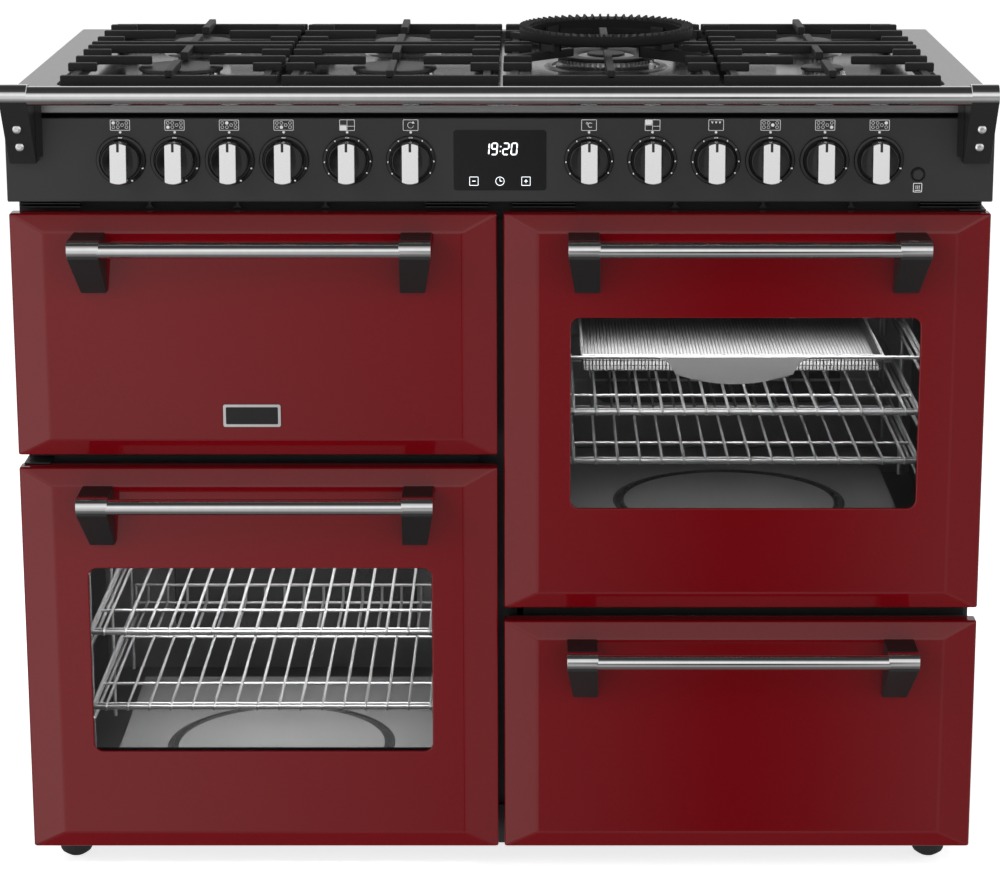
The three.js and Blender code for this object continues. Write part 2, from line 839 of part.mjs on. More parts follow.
function addBurners() {
  addBurner("burner_front_left", supportCentre(0), burnerFront, largeCap);
  addBurner("burner_back_left", supportCentre(0), burnerBack, mediumCap);
  addBurner("burner_front_centre", supportCentre(1), burnerFront, largeCap);
  addBurner("burner_back_centre", supportCentre(1), burnerBack, mediumCap);
  addBurner("burner_wok", supportCentre(2), supportMiddle, wokCap);
  addBurner("burner_front_right", supportCentre(3), burnerFront, smallCap);
  addBurner("burner_back_right", supportCentre(3), burnerBack, mediumCap);
}

// Levelling feet, threaded up into the base
function addFeet() {
  const front = footFrontMargin;
  const back = hobDepth - footBackMargin;
  const places = [
    ["foot_front_left", -1, front],
    ["foot_front_right", 1, front],
    ["foot_back_left", -1, back],
    ["foot_back_right", 1, back],
  ];
  const top = baseBottom - clearance;
  const collar = top - footCollarDrop;
  const profile = [
    [0, 0], [footPadRadius, 0], [footRadius, footTaper],
    [footRadius, collar], [footStemRadius, collar], [footStemRadius, top], [0, top],
  ];
  for (const [name, side, y] of places) {
    add(name, turned(profile, side * (width / 2 - footInset), y, footSides), blackPlastic);
  }
}

addSidePanels();
addBackPanel();
addChassis();
addHobPlate();
addControlPanel();
addKnobs();
addButton();
addRail();
addCavities();
addShelves();
addTray();
addDoors();
addPanSupports();
addWokRing();
addBurners();
addFeet();

export default range;
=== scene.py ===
"""Looks for a freestanding gas range: enamel doors, chrome handles, cast-iron hob, glazed ovens."""

import json
import math

import bmesh
import bpy
from mathutils import Matrix, Vector


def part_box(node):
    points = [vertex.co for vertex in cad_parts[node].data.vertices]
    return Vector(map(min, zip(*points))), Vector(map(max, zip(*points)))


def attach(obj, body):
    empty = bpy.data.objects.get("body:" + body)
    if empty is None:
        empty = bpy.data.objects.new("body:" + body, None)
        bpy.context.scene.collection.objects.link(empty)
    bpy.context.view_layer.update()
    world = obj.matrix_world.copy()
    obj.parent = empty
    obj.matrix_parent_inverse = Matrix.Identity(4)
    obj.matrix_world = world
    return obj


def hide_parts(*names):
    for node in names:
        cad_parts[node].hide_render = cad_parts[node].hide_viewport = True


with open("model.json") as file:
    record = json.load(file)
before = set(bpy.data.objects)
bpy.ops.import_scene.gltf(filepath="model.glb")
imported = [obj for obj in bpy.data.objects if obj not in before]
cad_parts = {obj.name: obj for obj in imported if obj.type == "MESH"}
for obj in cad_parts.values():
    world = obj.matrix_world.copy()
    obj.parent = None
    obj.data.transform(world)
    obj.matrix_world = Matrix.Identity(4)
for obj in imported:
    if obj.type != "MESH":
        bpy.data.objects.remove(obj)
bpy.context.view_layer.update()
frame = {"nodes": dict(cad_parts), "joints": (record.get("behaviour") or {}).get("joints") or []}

MM = 0.001
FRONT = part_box("hob_plate")[0].y  # the plane of the doors' outer edges and the hob's front
SMOOTH_BELOW = math.radians(38)


# ---------------------------------------------------------------- sizes taken from the frame
def span(node):
    """x0, x1, d0, d1, z0, z1 of a CAD node, in millimetres; d is the depth behind FRONT."""
    low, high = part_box(node)
    return (low.x / MM, high.x / MM, (low.y - FRONT) / MM, (high.y - FRONT) / MM,
            low.z / MM, high.z / MM)


def centre(node):
    x0, x1, d0, d1, z0, z1 = span(node)
    return (x0 + x1) / 2, (d0 + d1) / 2, (z0 + z1) / 2


def joint_place(name):
    """A hinge's point, in millimetres and depth."""
    x, y, z = next(j["pos_m"] for j in frame["joints"] if j["name"] == name)
    return x / MM, (y - FRONT) / MM, z / MM


def add_object(name, data):
    obj = bpy.data.objects.new(name, data)
    bpy.context.scene.collection.objects.link(obj)
    return obj


def mesh_of(name, bm):
    """A mesh with the bmesh's shape; the bmesh ends here."""
    mesh = bpy.data.meshes.new(name)
    bm.to_mesh(mesh)
    bm.free()
    return mesh


def face_out(bm):
    bmesh.ops.recalc_face_normals(bm, faces=bm.faces)


# ---------------------------------------------------------------- camera
CAMERA_PLACE = (0.0346, FRONT - 3.3, 1.4005)
CAMERA_DROP = 13.36  # degrees below level
CAMERA_LENS = 108.0
CAMERA_SHIFT = (-0.031, -0.08)


def make_camera():
    data = bpy.data.cameras.new("camera")
    data.lens = CAMERA_LENS
    data.sensor_width = 36.0
    data.shift_x, data.shift_y = CAMERA_SHIFT
    data.clip_end = 100
    camera = add_object("camera", data)
    camera.location = CAMERA_PLACE
    camera.rotation_euler = (math.radians(90 - CAMERA_DROP), 0, 0)
    bpy.context.scene.camera = camera


# ---------------------------------------------------------------- materials
def set_inputs(node, **values):
    """Sets a node's inputs; an underscore stands for a space in an input's name."""
    for name, value in values.items():
        node.inputs[name.replace("_", " ")].default_value = value


def shader(name, color, roughness, metallic=0.0, **sockets):
    """A Principled material; sockets are other inputs set to constants."""
    material = bpy.data.materials.new(name)
    material.use_nodes = True
    principled = material.node_tree.nodes["Principled BSDF"]
    set_inputs(principled, Base_Color=(*color, 1), Roughness=roughness, Metallic=metallic, **sockets)
    return material


def noise_of(material, scale, detail=3.0, stretch=None):
    """A noise texture in metres, stretched along an axis where brushing runs."""
    nodes, links = material.node_tree.nodes, material.node_tree.links
    coords = nodes.new("ShaderNodeTexCoord")
    noise = nodes.new("ShaderNodeTexNoise")
    set_inputs(noise, Scale=scale, Detail=detail)
    if stretch:
        mapping = nodes.new("ShaderNodeMapping")
        mapping.inputs["Scale"].default_value = stretch
        links.new(coords.outputs["Object"], mapping.inputs["Vector"])
        links.new(mapping.outputs["Vector"], noise.inputs["Vector"])
    else:
        links.new(coords.outputs["Object"], noise.inputs["Vector"])
    return noise


def vary_color(material, noise, dark, light, low=0.35, high=0.65):
    nodes, links = material.node_tree.nodes, material.node_tree.links
    ramp = nodes.new("ShaderNodeValToRGB")
    ramp.color_ramp.elements[0].position = low
    ramp.color_ramp.elements[0].color = (*dark, 1)
    ramp.color_ramp.elements[1].position = high
    ramp.color_ramp.elements[1].color = (*light, 1)
    links.new(noise.outputs["Fac"], ramp.inputs["Fac"])
    links.new(ramp.outputs["Color"], nodes["Principled BSDF"].inputs["Base Color"])


def vary_roughness(material, noise, low, high):
    nodes, links = material.node_tree.nodes, material.node_tree.links
    reach = nodes.new("ShaderNodeMapRange")
    set_inputs(reach, From_Min=0.3, From_Max=0.7, To_Min=low, To_Max=high)
    links.new(noise.outputs["Fac"], reach.inputs["Value"])
    links.new(reach.outputs["Result"], nodes["Principled BSDF"].inputs["Roughness"])


def add_bump(material, noise, strength, distance):
    nodes, links = material.node_tree.nodes, material.node_tree.links
    bump = nodes.new("ShaderNodeBump")
    set_inputs(bump, Strength=strength, Distance=distance)
    links.new(noise.outputs["Fac"], bump.inputs["Height"])
    links.new(bump.outputs["Normal"], nodes["Principled BSDF"].inputs["Normal"])


def textured(name, dark, light, rough, grain, bump, metallic=0.0, stretch=None, **sockets):
    """Colour, roughness and bump that all vary with one fine noise of `grain` per metre."""
    material = shader(name, light, rough[0], metallic, **sockets)
    noise = noise_of(material, grain, stretch=stretch)
    vary_color(material, noise, dark, light)
    vary_roughness(material, noise, *rough)
    add_bump(material, noise, *bump)
    return material


def shade(color, factor):
    return tuple(c * factor for c in color)


def make_materials():
    red = (0.125, 0.0014, 0.0036)
    made = {
        "red": textured("red_enamel", shade(red, 0.95), red, (0.05, 0.07), 260, (0.012, 0.0001),
                        Specular_IOR_Level=0.5),
        "side": textured("side_enamel", (0.022, 0.022, 0.024), (0.028, 0.028, 0.03),
                         (0.38, 0.48), 900, (0.12, 0.0002)),
        "panel": textured("panel_lacquer", (0.017, 0.017, 0.018), (0.021, 0.021, 0.022),
                          (0.3, 0.38), 1500, (0.08, 0.0001)),
        "steel": textured("brushed_steel", (0.25, 0.25, 0.252), (0.31, 0.31, 0.312),
                          (0.26, 0.34), 420, (0.02, 0.0001), 1.0, stretch=(0.15, 12, 12)),
        "well": textured("well_steel", (0.06, 0.06, 0.061), (0.085, 0.085, 0.086),
                         (0.14, 0.2), 300, (0.03, 0.0001), 1.0),
        "zinc": textured("galvanised_sheet", (0.43, 0.435, 0.44), (0.49, 0.49, 0.5),
                         (0.42, 0.52), 240, (0.03, 0.0002), 1.0),
        "chrome": textured("polished_chrome", (0.86, 0.86, 0.865), (0.9, 0.9, 0.905),
                           (0.05, 0.08), 90, (0.004, 0.0001), 1.0),
        "grip": textured("satin_chrome", (0.93, 0.93, 0.935), (0.97, 0.97, 0.975),
                         (0.2, 0.28), 700, (0.004, 0.0001), 1.0),
        "wire": textured("plated_wire", (0.46, 0.46, 0.465), (0.56, 0.56, 0.565),
                         (0.28, 0.38), 700, (0.02, 0.0001), 0.55),
        "mesh": textured("basket_mesh", (0.07, 0.07, 0.07), (0.13, 0.13, 0.13),
                         (0.4, 0.5), 900, (0.02, 0.0001), 0.6),
        "plate": textured("tray_plate", (0.4, 0.4, 0.4), (0.44, 0.44, 0.44),
                          (0.4, 0.5), 900, (0.03, 0.0001), 0.1),
        "black": textured("satin_black", (0.009, 0.009, 0.0095), (0.014, 0.014, 0.0145),
                          (0.36, 0.46), 1600, (0.1, 0.0001)),
        "gloss": textured("gloss_black", (0.004, 0.004, 0.0045), (0.007, 0.007, 0.0075),
                          (0.08, 0.13), 900, (0.02, 0.0001)),
        "iron": textured("cast_iron", (0.006, 0.006, 0.0065), (0.0125, 0.0125, 0.013),
                         (0.42, 0.62), 1100, (0.5, 0.0004)),
        "cap": textured("cap_enamel", (0.008, 0.008, 0.0085), (0.014, 0.014, 0.0145),
                        (0.38, 0.5), 1300, (0.25, 0.0002)),
        "crown": textured("burner_aluminium", (0.45, 0.45, 0.46), (0.62, 0.62, 0.63),
                          (0.28, 0.42), 600, (0.2, 0.0002), 1.0),
        "rubber": textured("seal_rubber", (0.009, 0.009, 0.009), (0.015, 0.015, 0.015),
                           (0.6, 0.75), 900, (0.3, 0.0002)),
        "tub": textured("tub_sheet", (0.05, 0.05, 0.052), (0.062, 0.062, 0.064),
                        (0.4, 0.5), 700, (0.1, 0.0002)),
        "brass": textured("gas_brass", (0.48, 0.32, 0.11), (0.62, 0.43, 0.16),
                          (0.25, 0.4), 500, (0.1, 0.0002), 1.0),
        "print": textured("white_print", (0.72, 0.72, 0.72), (0.82, 0.82, 0.82),
                          (0.45, 0.55), 2500, (0.05, 0.00005)),
    }
    enamel = textured("oven_enamel", (0.03, 0.03, 0.031), (0.038, 0.038, 0.039),
                      (0.2, 0.3), 500, (0.06, 0.0002))
    specks = noise_of(enamel, 1900, detail=1.0)
    vary_color(enamel, specks, (0.03, 0.03, 0.031), (0.16, 0.16, 0.165), 0.62, 0.74)
    made["enamel"] = enamel
    # A lighter grey for the oven floors: painted light, standing in for the light that falls on them.
    made["floor"] = textured("oven_floor_painted_light", (0.17, 0.17, 0.17), (0.2, 0.2, 0.2), (0.3, 0.4), 800,
                             (0.05, 0.0001))
    digits = shader("clock_digits", (0.9, 0.92, 0.95), 0.4, Emission_Color=(0.9, 0.95, 1, 1),
                    Emission_Strength=1.1)
    vary_roughness(digits, noise_of(digits, 800), 0.35, 0.45)
    made["digits"] = digits
    made["glass"] = glass("door_glass", 0.93)
    made["inner_glass"] = glass("inner_glass", 0.96)
    return made


def glass(name, clear):
    """A thin pane: mostly see-through, with a mirror-like surface that grows at grazing angles."""
    material = shader(name, (0.02, 0.02, 0.021), 0.03, Specular_IOR_Level=0.5)
    nodes, links = material.node_tree.nodes, material.node_tree.links
    noise = noise_of(material, 30)
    vary_roughness(material, noise, 0.02, 0.045)
    fresnel = nodes.new("ShaderNodeFresnel")
    fresnel.inputs["IOR"].default_value = 1.45
    keep = nodes.new("ShaderNodeMapRange")
    set_inputs(keep, To_Min=1 - clear, To_Max=1.0)
    links.new(fresnel.outputs["Fac"], keep.inputs["Value"])
    links.new(keep.outputs["Result"], nodes["Principled BSDF"].inputs["Alpha"])
    return material


# ---------------------------------------------------------------- shapes
def to_world(mesh):
    mesh.transform(Matrix.Translation((0, FRONT, 0)) @ Matrix.Scale(MM, 4))


def evaluated(obj):
    graph = bpy.context.evaluated_depsgraph_get()
    return bpy.data.meshes.new_from_object(obj.evaluated_get(graph))


def flatten_faces(obj):
    """Weights the normals by area, so that large faces stay flat beside their rounded edges."""
    weight = obj.modifiers.new("weight", "WEIGHTED_NORMAL")
    weight.weight = 100
    weight.keep_sharp = True
    bpy.context.view_layer.update()
    baked = evaluated(obj)
    raw = obj.data
    obj.modifiers.clear()
    baked.name = raw.name
    obj.data = baked
    bpy.data.meshes.remove(raw)


# For each plane of a drawn outline, the place of a point (a, b) at height c above the plane.
PLANES = {"XZ": lambda a, b, c: (a, c, b), "YZ": lambda a, b, c: (c, a, b),
          "XY": lambda a, b, c: (a, b, c)}


class Shape:
    """Collects closed shapes, given in millimetres and depth, for one piece."""

    def __init__(self):
        self.bm = bmesh.new()

    def take(self, other, bevel=0.0, segments=2, only=None):
        """Adds another bmesh after rounding its edges (all, or those that only() picks)."""
        if bevel > 0:
            edges = [e for e in other.edges if only is None or only(e)]
            bmesh.ops.bevel(other, geom=edges, offset=bevel, segments=segments,
                            affect="EDGES", profile=0.5, clamp_overlap=True)
        held = mesh_of("held", other)
        self.bm.from_mesh(held)
        bpy.data.meshes.remove(held)
        return self

    def box(self, x0, x1, d0, d1, z0, z1, bevel=0.0, segments=2, only=None):
        made = bmesh.new()
        bmesh.ops.create_cube(made, size=1)
        place = Matrix.Translation(((x0 + x1) / 2, (d0 + d1) / 2, (z0 + z1) / 2))
        made.transform(place @ Matrix.Diagonal((x1 - x0, d1 - d0, z1 - z0, 1)))
        return self.take(made, bevel, segments, only)

    def bar(self, a, b, wide, z0, z1, bevel=0.0):
        """A level bar of rectangular section between two points of the plan."""
        made = bmesh.new()
        bmesh.ops.create_cube(made, size=1)
        run = Vector((b[0] - a[0], b[1] - a[1], 0))
        place = Matrix.Translation(((a[0] + b[0]) / 2, (a[1] + b[1]) / 2, (z0 + z1) / 2))
        turn = Matrix.Rotation(math.atan2(run.y, run.x), 4, "Z")
        made.transform(place @ turn @ Matrix.Diagonal((run.length, wide, z1 - z0, 1)))
        return self.take(made, bevel)

    def rod(self, a, b, radius, sides=16, bevel=0.0):
        a, b = Vector(a), Vector(b)
        made = bmesh.new()
        bmesh.ops.create_cone(made, cap_ends=True, segments=sides, radius1=radius,
                              radius2=radius, depth=(b - a).length)
        turn = (b - a).to_track_quat("Z", "Y").to_matrix().to_4x4()
        made.transform(Matrix.Translation((a + b) / 2) @ turn)
        return self.take(made, bevel, 2, lambda e: e.calc_face_angle(0) > math.radians(60))

    def wire(self, points, radius, sides=8):
        """A bent wire: rods with a ball at each bend."""
        for a, b in zip(points, points[1:]):
            self.rod(a, b, radius, sides)
        for point in points[1:-1]:
            self.ball(point, radius, sides)
        return self

    def ball(self, point, radius, sides=8):
        made = bmesh.new()
        bmesh.ops.create_uvsphere(made, u_segments=sides, v_segments=max(4, sides // 2),
                                  radius=radius)
        made.transform(Matrix.Translation(point))
        return self.take(made)

    def lathe(self, profile, place, axis="Z", steps=48):
        """Turns a closed (radius, height) profile round an axis through place."""
        made = bmesh.new()
        rings = []
        for radius, height in profile:
            if radius < 1e-6:
                rings.append([made.verts.new((0, 0, height))])
                continue
            turns = [math.tau * i / steps for i in range(steps)]
            rings.append([made.verts.new((radius * math.cos(t), radius * math.sin(t), height))
                          for t in turns])
        closed = profile[0][0] > 1e-6
        for low, high in zip(rings, rings[1:] + ([rings[0]] if closed else [])):
            for i in range(steps):
                j = (i + 1) % steps
                corners = [low[i % len(low)], low[j % len(low)],
                           high[j % len(high)], high[i % len(high)]]
                unique = list(dict.fromkeys(corners))
                if len(unique) > 2:
                    made.faces.new(unique)
        face_out(made)
        turn = Matrix.Identity(4)
        if axis == "Y":  # heights run towards the viewer
            turn = Matrix.Rotation(math.radians(90), 4, "X")
        if axis == "X":
            turn = Matrix.Rotation(math.radians(90), 4, "Y")
        made.transform(Matrix.Translation(place) @ turn)
        return self.take(made)

    def prism(self, outline, low, high, plane="XZ", bevel=0.0, segments=2, only=None):
        """An outline in a plane, extruded from low to high along the third axis."""
        put = PLANES[plane]
        made = bmesh.new()
        ends = [[made.verts.new(put(a, b, c)) for a, b in outline] for c in (low, high)]
        made.faces.new(ends[0])
        made.faces.new(list(reversed(ends[1])))
        count = len(outline)
        for i in range(count):
            j = (i + 1) % count
            made.faces.new((ends[0][j], ends[0][i], ends[1][i], ends[1][j]))
        face_out(made)
        return self.take(made, bevel, segments, only)

    def frame_plate(self, outer, inner, low, high, plane="XZ"):
        """A flat ring between two outlines with the same number of points."""
        put = PLANES[plane]
        made = bmesh.new()
        loops = [[made.verts.new(put(a, b, c)) for a, b in line]
                 for c in (low, high) for line in (outer, inner)]
        order = [(0, 1), (1, 3), (3, 2), (2, 0)]
        count = len(outer)
        for first, second in order:
            for i in range(count):
                j = (i + 1) % count
                made.faces.new((loops[first][i], loops[first][j],
                                loops[second][j], loops[second][i]))
        face_out(made)
        return self.take(made)

    def carve(self, tool):
        """Cuts the tool's shape out of this one."""
        solids = []
        for bm in (self.bm, tool.bm):
            solids.append(add_object("solid", mesh_of("solid", bm)))
        cutter = solids[0].modifiers.new("cut", "BOOLEAN")
        cutter.operation, cutter.solver, cutter.object = "DIFFERENCE", "EXACT", solids[1]
        bpy.context.view_layer.update()
        result = evaluated(solids[0])
        for obj in solids:
            bpy.data.objects.remove(obj)
        self.bm = bmesh.new()
        self.bm.from_mesh(result)
        return self

    def soften(self, width, segments=2, above=50):
        """Rounds the sharp edges that a cut has left."""
        edges = [e for e in self.bm.edges if e.is_manifold
                 and e.calc_face_angle(0) > math.radians(above)]
        bmesh.ops.bevel(self.bm, geom=edges, offset=width, segments=segments, affect="EDGES",
                        profile=0.5, clamp_overlap=True)
        return self

    def piece(self, name, material, body, slot, replaces=()):
        """Ends the shape: a smooth-shaded object that rides on a body."""
        bm = self.bm
        bmesh.ops.remove_doubles(bm, verts=bm.verts, dist=1e-4)
        for face in bm.faces:
            face.smooth = True
        for edge in bm.edges:
            if edge.is_manifold:
                edge.smooth = edge.calc_face_angle(0) < SMOOTH_BELOW
        mesh = mesh_of(name, bm)
        to_world(mesh)
        mesh.materials.append(material)
        obj = add_object(name, mesh)
        flatten_faces(obj)
        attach(obj, body)
        if replaces:
            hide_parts(*replaces)
        return obj


def rounded(x0, x1, z0, z1, radius, steps=6):
    """Points of a rounded rectangle, anticlockwise."""
    points = []
    corners = [(x1 - radius, z1 - radius, 0), (x0 + radius, z1 - radius, 90),
               (x0 + radius, z0 + radius, 180), (x1 - radius, z0 + radius, 270)]
    for x, z, start in corners:
        for i in range(steps + 1):
            t = math.radians(start + 90 * i / steps)
            points.append((x + radius * math.cos(t), z + radius * math.sin(t)))
    return points


def around(window, grow, radius):
    """A rounded outline that stands `grow` outside a window's edges."""
    x0, x1, z0, z1 = window
    return rounded(x0 - grow, x1 + grow, z0 - grow, z1 + grow, radius)


MAT = make_materials()
make_camera()


# ---------------------------------------------------------------- doors
EDGE_ROUND = 2.2
SIDE_BEVEL = 38.5
END_BEVEL = 20.3
GLASS_LAP = 12.0
HANDLE_RADIUS = 9.0
LEG_WIDE = 35.5
WINDOW_ROUND = 10.0
POCKET_LAP = 17  # how much wider than the window the glass's pocket is
LINER_LAP = 15  # how much wider the inner shell's window is, so that the outer one frames it


def raised_shape(x0, x1, raised, back, z0, z1):
    """A slab with a raised face inside sloping borders."""
    made = bmesh.new()
    rims = []
    for dx, dz, depth in ((0, 0, back), (0, 0, 0), (SIDE_BEVEL, END_BEVEL, raised)):
        corners = ((x0 + dx, z0 + dz), (x1 - dx, z0 + dz), (x1 - dx, z1 - dz), (x0 + dx, z1 - dz))
        rims.append([made.verts.new((x, depth, z)) for x, z in corners])
    made.faces.new(rims[0])
    made.faces.new(list(reversed(rims[2])))
    for low, high in zip(rims, rims[1:]):
        for i in range(4):
            j = (i + 1) % 4
            made.faces.new((low[j], low[i], high[i], high[j]))
    face_out(made)
    return made


def window_of(glass_node):
    x0, x1, _, _, z0, z1 = span(glass_node)
    return x0 + GLASS_LAP, x1 - GLASS_LAP, z0 + GLASS_LAP, z1 - GLASS_LAP


def door_skin(node, body, glass_node=None):
    x0, x1, d0, d1, z0, z1 = span(node)
    shape = Shape().take(raised_shape(x0, x1, d0, d1, z0, z1), EDGE_ROUND, 3)
    if glass_node:
        window = window_of(glass_node)
        glass_front = span(glass_node)[2]
        hole = Shape().prism(around(window, 0, WINDOW_ROUND), d0 - 5, glass_front + 1)
        pocket = Shape().prism(around(window, POCKET_LAP, WINDOW_ROUND), glass_front - 0.2, d1 + 5)
        shape.carve(hole).soften(1.9, 4, 70).carve(pocket)
    shape.piece(node.replace("_panel", "_skin"), MAT["red"], body, "red_enamel", [node])


def door_inner(node, body, glass_node):
    """The inner shell with its raised step, the inner pane and the pane's black border."""
    x0, x1, d0, d1, z0, z1 = span(node)
    back = d1
    front = span("grill_door_inner")[2]
    shape = Shape().box(x0, x1, front, back - 6, z0, z1, 3, 3)
    shape.box(x0 + 28, x1 - 28, back - 8, back, z0 + 28, z1 - 28, 3, 3)
    name = body + "_liner"
    if not glass_node:
        shape.piece(name, MAT["enamel"], body, "oven_enamel", [node])
        return
    w0, w1, w2, w3 = window_of(glass_node)
    window = w0, w1, w2, w3 = w0 - LINER_LAP, w1 + LINER_LAP, w2 - LINER_LAP, w3 + LINER_LAP
    edge = around(window, 0, WINDOW_ROUND)
    hole = Shape().prism(edge, d0 - 5, d1 + 5)
    collar = Shape().frame_plate(around(window, 2, WINDOW_ROUND), edge, d0 + 0.2, front + 0.5)
    shape.carve(hole).soften(0.8, 2, 70)
    shape.take(collar.bm)
    shape.piece(name, MAT["enamel"], body, "oven_enamel", [node])
    pane = Shape().prism(around(window, 8, 8), back + 0.1, back + 1.8)
    pane.piece(body + "_inner_pane", MAT["inner_glass"], body, "door_glass")
    border = Shape().frame_plate(around(window, 9, 9),
                                 rounded(w0 + 2, w1 - 2, w2 + 1, w3 - 2, 9), back + 1.9, back + 2.6)
    border.piece(body + "_pane_border", MAT["gloss"], body, "black_trim")


def door_handle(node, body):
    """A chrome bar between two black legs whose fronts carry chrome sleeves."""
    x0, x1, d0, d1, z0, z1 = span(node)
    radius, wide = HANDLE_RADIUS, LEG_WIDE
    mid_d = d0 + radius
    mid_z = z1 - 13
    bar = Shape().rod((x0 + wide - 2, mid_d, mid_z), (x1 - wide + 2, mid_d, mid_z), radius, 40)
    sleeves, legs = Shape(), Shape()
    for a, b, out in ((x0, x0 + wide, -1), (x1 - wide, x1, 1)):
        sleeves.prism(sleeve_outline(mid_d, mid_z, radius), a, b, "YZ", 0.6, 2)
        outline = [(d1, z0), (d1, mid_z + radius + 2.5), (mid_d + 5, mid_z + radius + 2.5),
                   (mid_d - radius + 2.2, mid_z - 1), (mid_d - radius + 2.2, mid_z - radius),
                   (d1 - 9, z0)]
        leg = Shape().prism(outline, a + 0.4, b - 0.4, "YZ")
        narrow_leg(leg.bm, (a + b) / 2, out, z0, mid_z - radius)
        legs.take(leg.bm, 0.9, 2)
    bar.piece(node.replace("handle", "bar"), MAT["chrome"], body, "handle_chrome", [node])
    sleeves.piece(node.replace("handle", "sleeves"), MAT["chrome"], body, "handle_chrome")
    legs.piece(node.replace("handle", "legs"), MAT["black"], body, "black_trim")


def sleeve_outline(mid_d, mid_z, radius):
    """A half-round shell round the front of the bar, a little taller than the bar."""
    points = []
    for i in range(13):
        t = math.radians(80 + 200 * i / 12)
        points.append((mid_d + radius * math.cos(t), mid_z + 1 + (radius + 1.2) * math.sin(t)))
    points.append((mid_d + 5, mid_z - radius + 1))
    points.append((mid_d + 5, mid_z + radius + 2))
    return points


def narrow_leg(bm, mid, out, low, high):
    """Slants a leg's outer side inwards towards its foot."""
    for vert in bm.verts:
        share = min(1, max(0, (high - vert.co.z) / (high - low)))
        outer = (vert.co.x - mid) * out > 0
        vert.co.x -= out * share * (7.5 if outer else 1.5)


def badge(node, body):
    """A blank framed plate."""
    x0, x1, d0, _, z0, _ = span(node)
    mid_x, mid_z = (x0 + x1) / 2 - 5, z0 + 48.5
    front = d0 - 1.8
    ring = Shape().frame_plate(rounded(mid_x - 32.5, mid_x + 32.5, mid_z - 13, mid_z + 13, 2.2),
                               rounded(mid_x - 29.5, mid_x + 29.5, mid_z - 10, mid_z + 10, 1.4),
                               front, d0 + 0.5)
    ring.piece("badge_frame", MAT["chrome"], body, "handle_chrome")
    plate = Shape().prism(rounded(mid_x - 30, mid_x + 30, mid_z - 10.5, mid_z + 10.5, 1.4),
                          front + 0.8, d0 + 0.5)
    plate.piece("badge_plate", MAT["gloss"], body, "black_trim")


def make_doors():
    door_skin("grill_door_panel", "grill_door")
    door_skin("left_oven_door_panel", "left_oven_door", "left_oven_door_glass")
    door_skin("right_oven_door_panel", "right_oven_door", "right_oven_door_glass")
    door_skin("drawer_front", "drawer")
    door_inner("grill_door_inner", "grill_door", None)
    for side in ("left", "right"):
        body = side + "_oven_door"
        door_inner(body + "_inner", body, body + "_glass")
        paint(body + "_glass", MAT["glass"])
        door_handle(body + "_handle", body)
    door_handle("grill_door_handle", "grill_door")
    door_handle("drawer_handle", "drawer")
    badge("grill_door_panel", "grill_door")


# ---------------------------------------------------------------- control panel
PRINT = (-0.12, 0.05)  # the depths between which printed marks lie
DIGIT = (-1.05, -0.9)
MARK = (-3.12, -2.9)
HOB_MAP = [(-7.4, 2.5), (-7.4, -2.3), (-2.4, 2.5), (-2.4, -2.3), (2.4, 0.1), (7.2, -2.3), (7.2, 2.5)]
GAS_KNOBS = ["knob_burner_back_left", "knob_burner_front_left", "knob_burner_back_centre",
             "knob_burner_front_centre", "knob_burner_wok", "knob_burner_front_right",
             "knob_burner_back_right"]
OVEN_KNOBS = ["knob_left_oven", "knob_right_oven_mode", "knob_right_oven_heat", "knob_top_oven",
              "knob_grill"]


def print_frame(shape, x, z, wide, tall, line=0.55, radius=1.0):
    shape.frame_plate(rounded(x - wide / 2, x + wide / 2, z - tall / 2, z + tall / 2, radius),
                      rounded(x - wide / 2 + line, x + wide / 2 - line, z - tall / 2 + line,
                              z + tall / 2 - line, radius * 0.6), *PRINT)


def print_disc(shape, x, z, radius):
    shape.prism(circle(x, z, radius), *PRINT)


def print_ring(shape, x, z, radius, line=0.45):
    shape.frame_plate(circle(x, z, radius), circle(x, z, radius - line), *PRINT)


def print_line(shape, x0, z0, x1, z1, line=0.5):
    run = Vector((x1 - x0, z1 - z0)).normalized() * line / 2
    side = Vector((-run.y, run.x))
    points = [(x0 + side.x, z0 + side.y), (x1 + side.x, z1 + side.y),
              (x1 - side.x, z1 - side.y), (x0 - side.x, z0 - side.y)]
    shape.prism(points, *PRINT)


def circle(x, z, radius, steps=20):
    return [(x + radius * math.cos(math.tau * i / steps), z + radius * math.sin(math.tau * i / steps))
            for i in range(steps)]


def arc_print(shape, x, z, radius, start, end, line=0.5, steps=10):
    turns = [math.radians(start + (end - start) * i / steps) for i in range(steps + 1)]
    outer = [(x + radius * math.cos(t), z + radius * math.sin(t)) for t in turns]
    inner = [(x + (radius - line) * math.cos(t), z + (radius - line) * math.sin(t)) for t in turns]
    shape.prism(outer + inner[::-1], *PRINT)


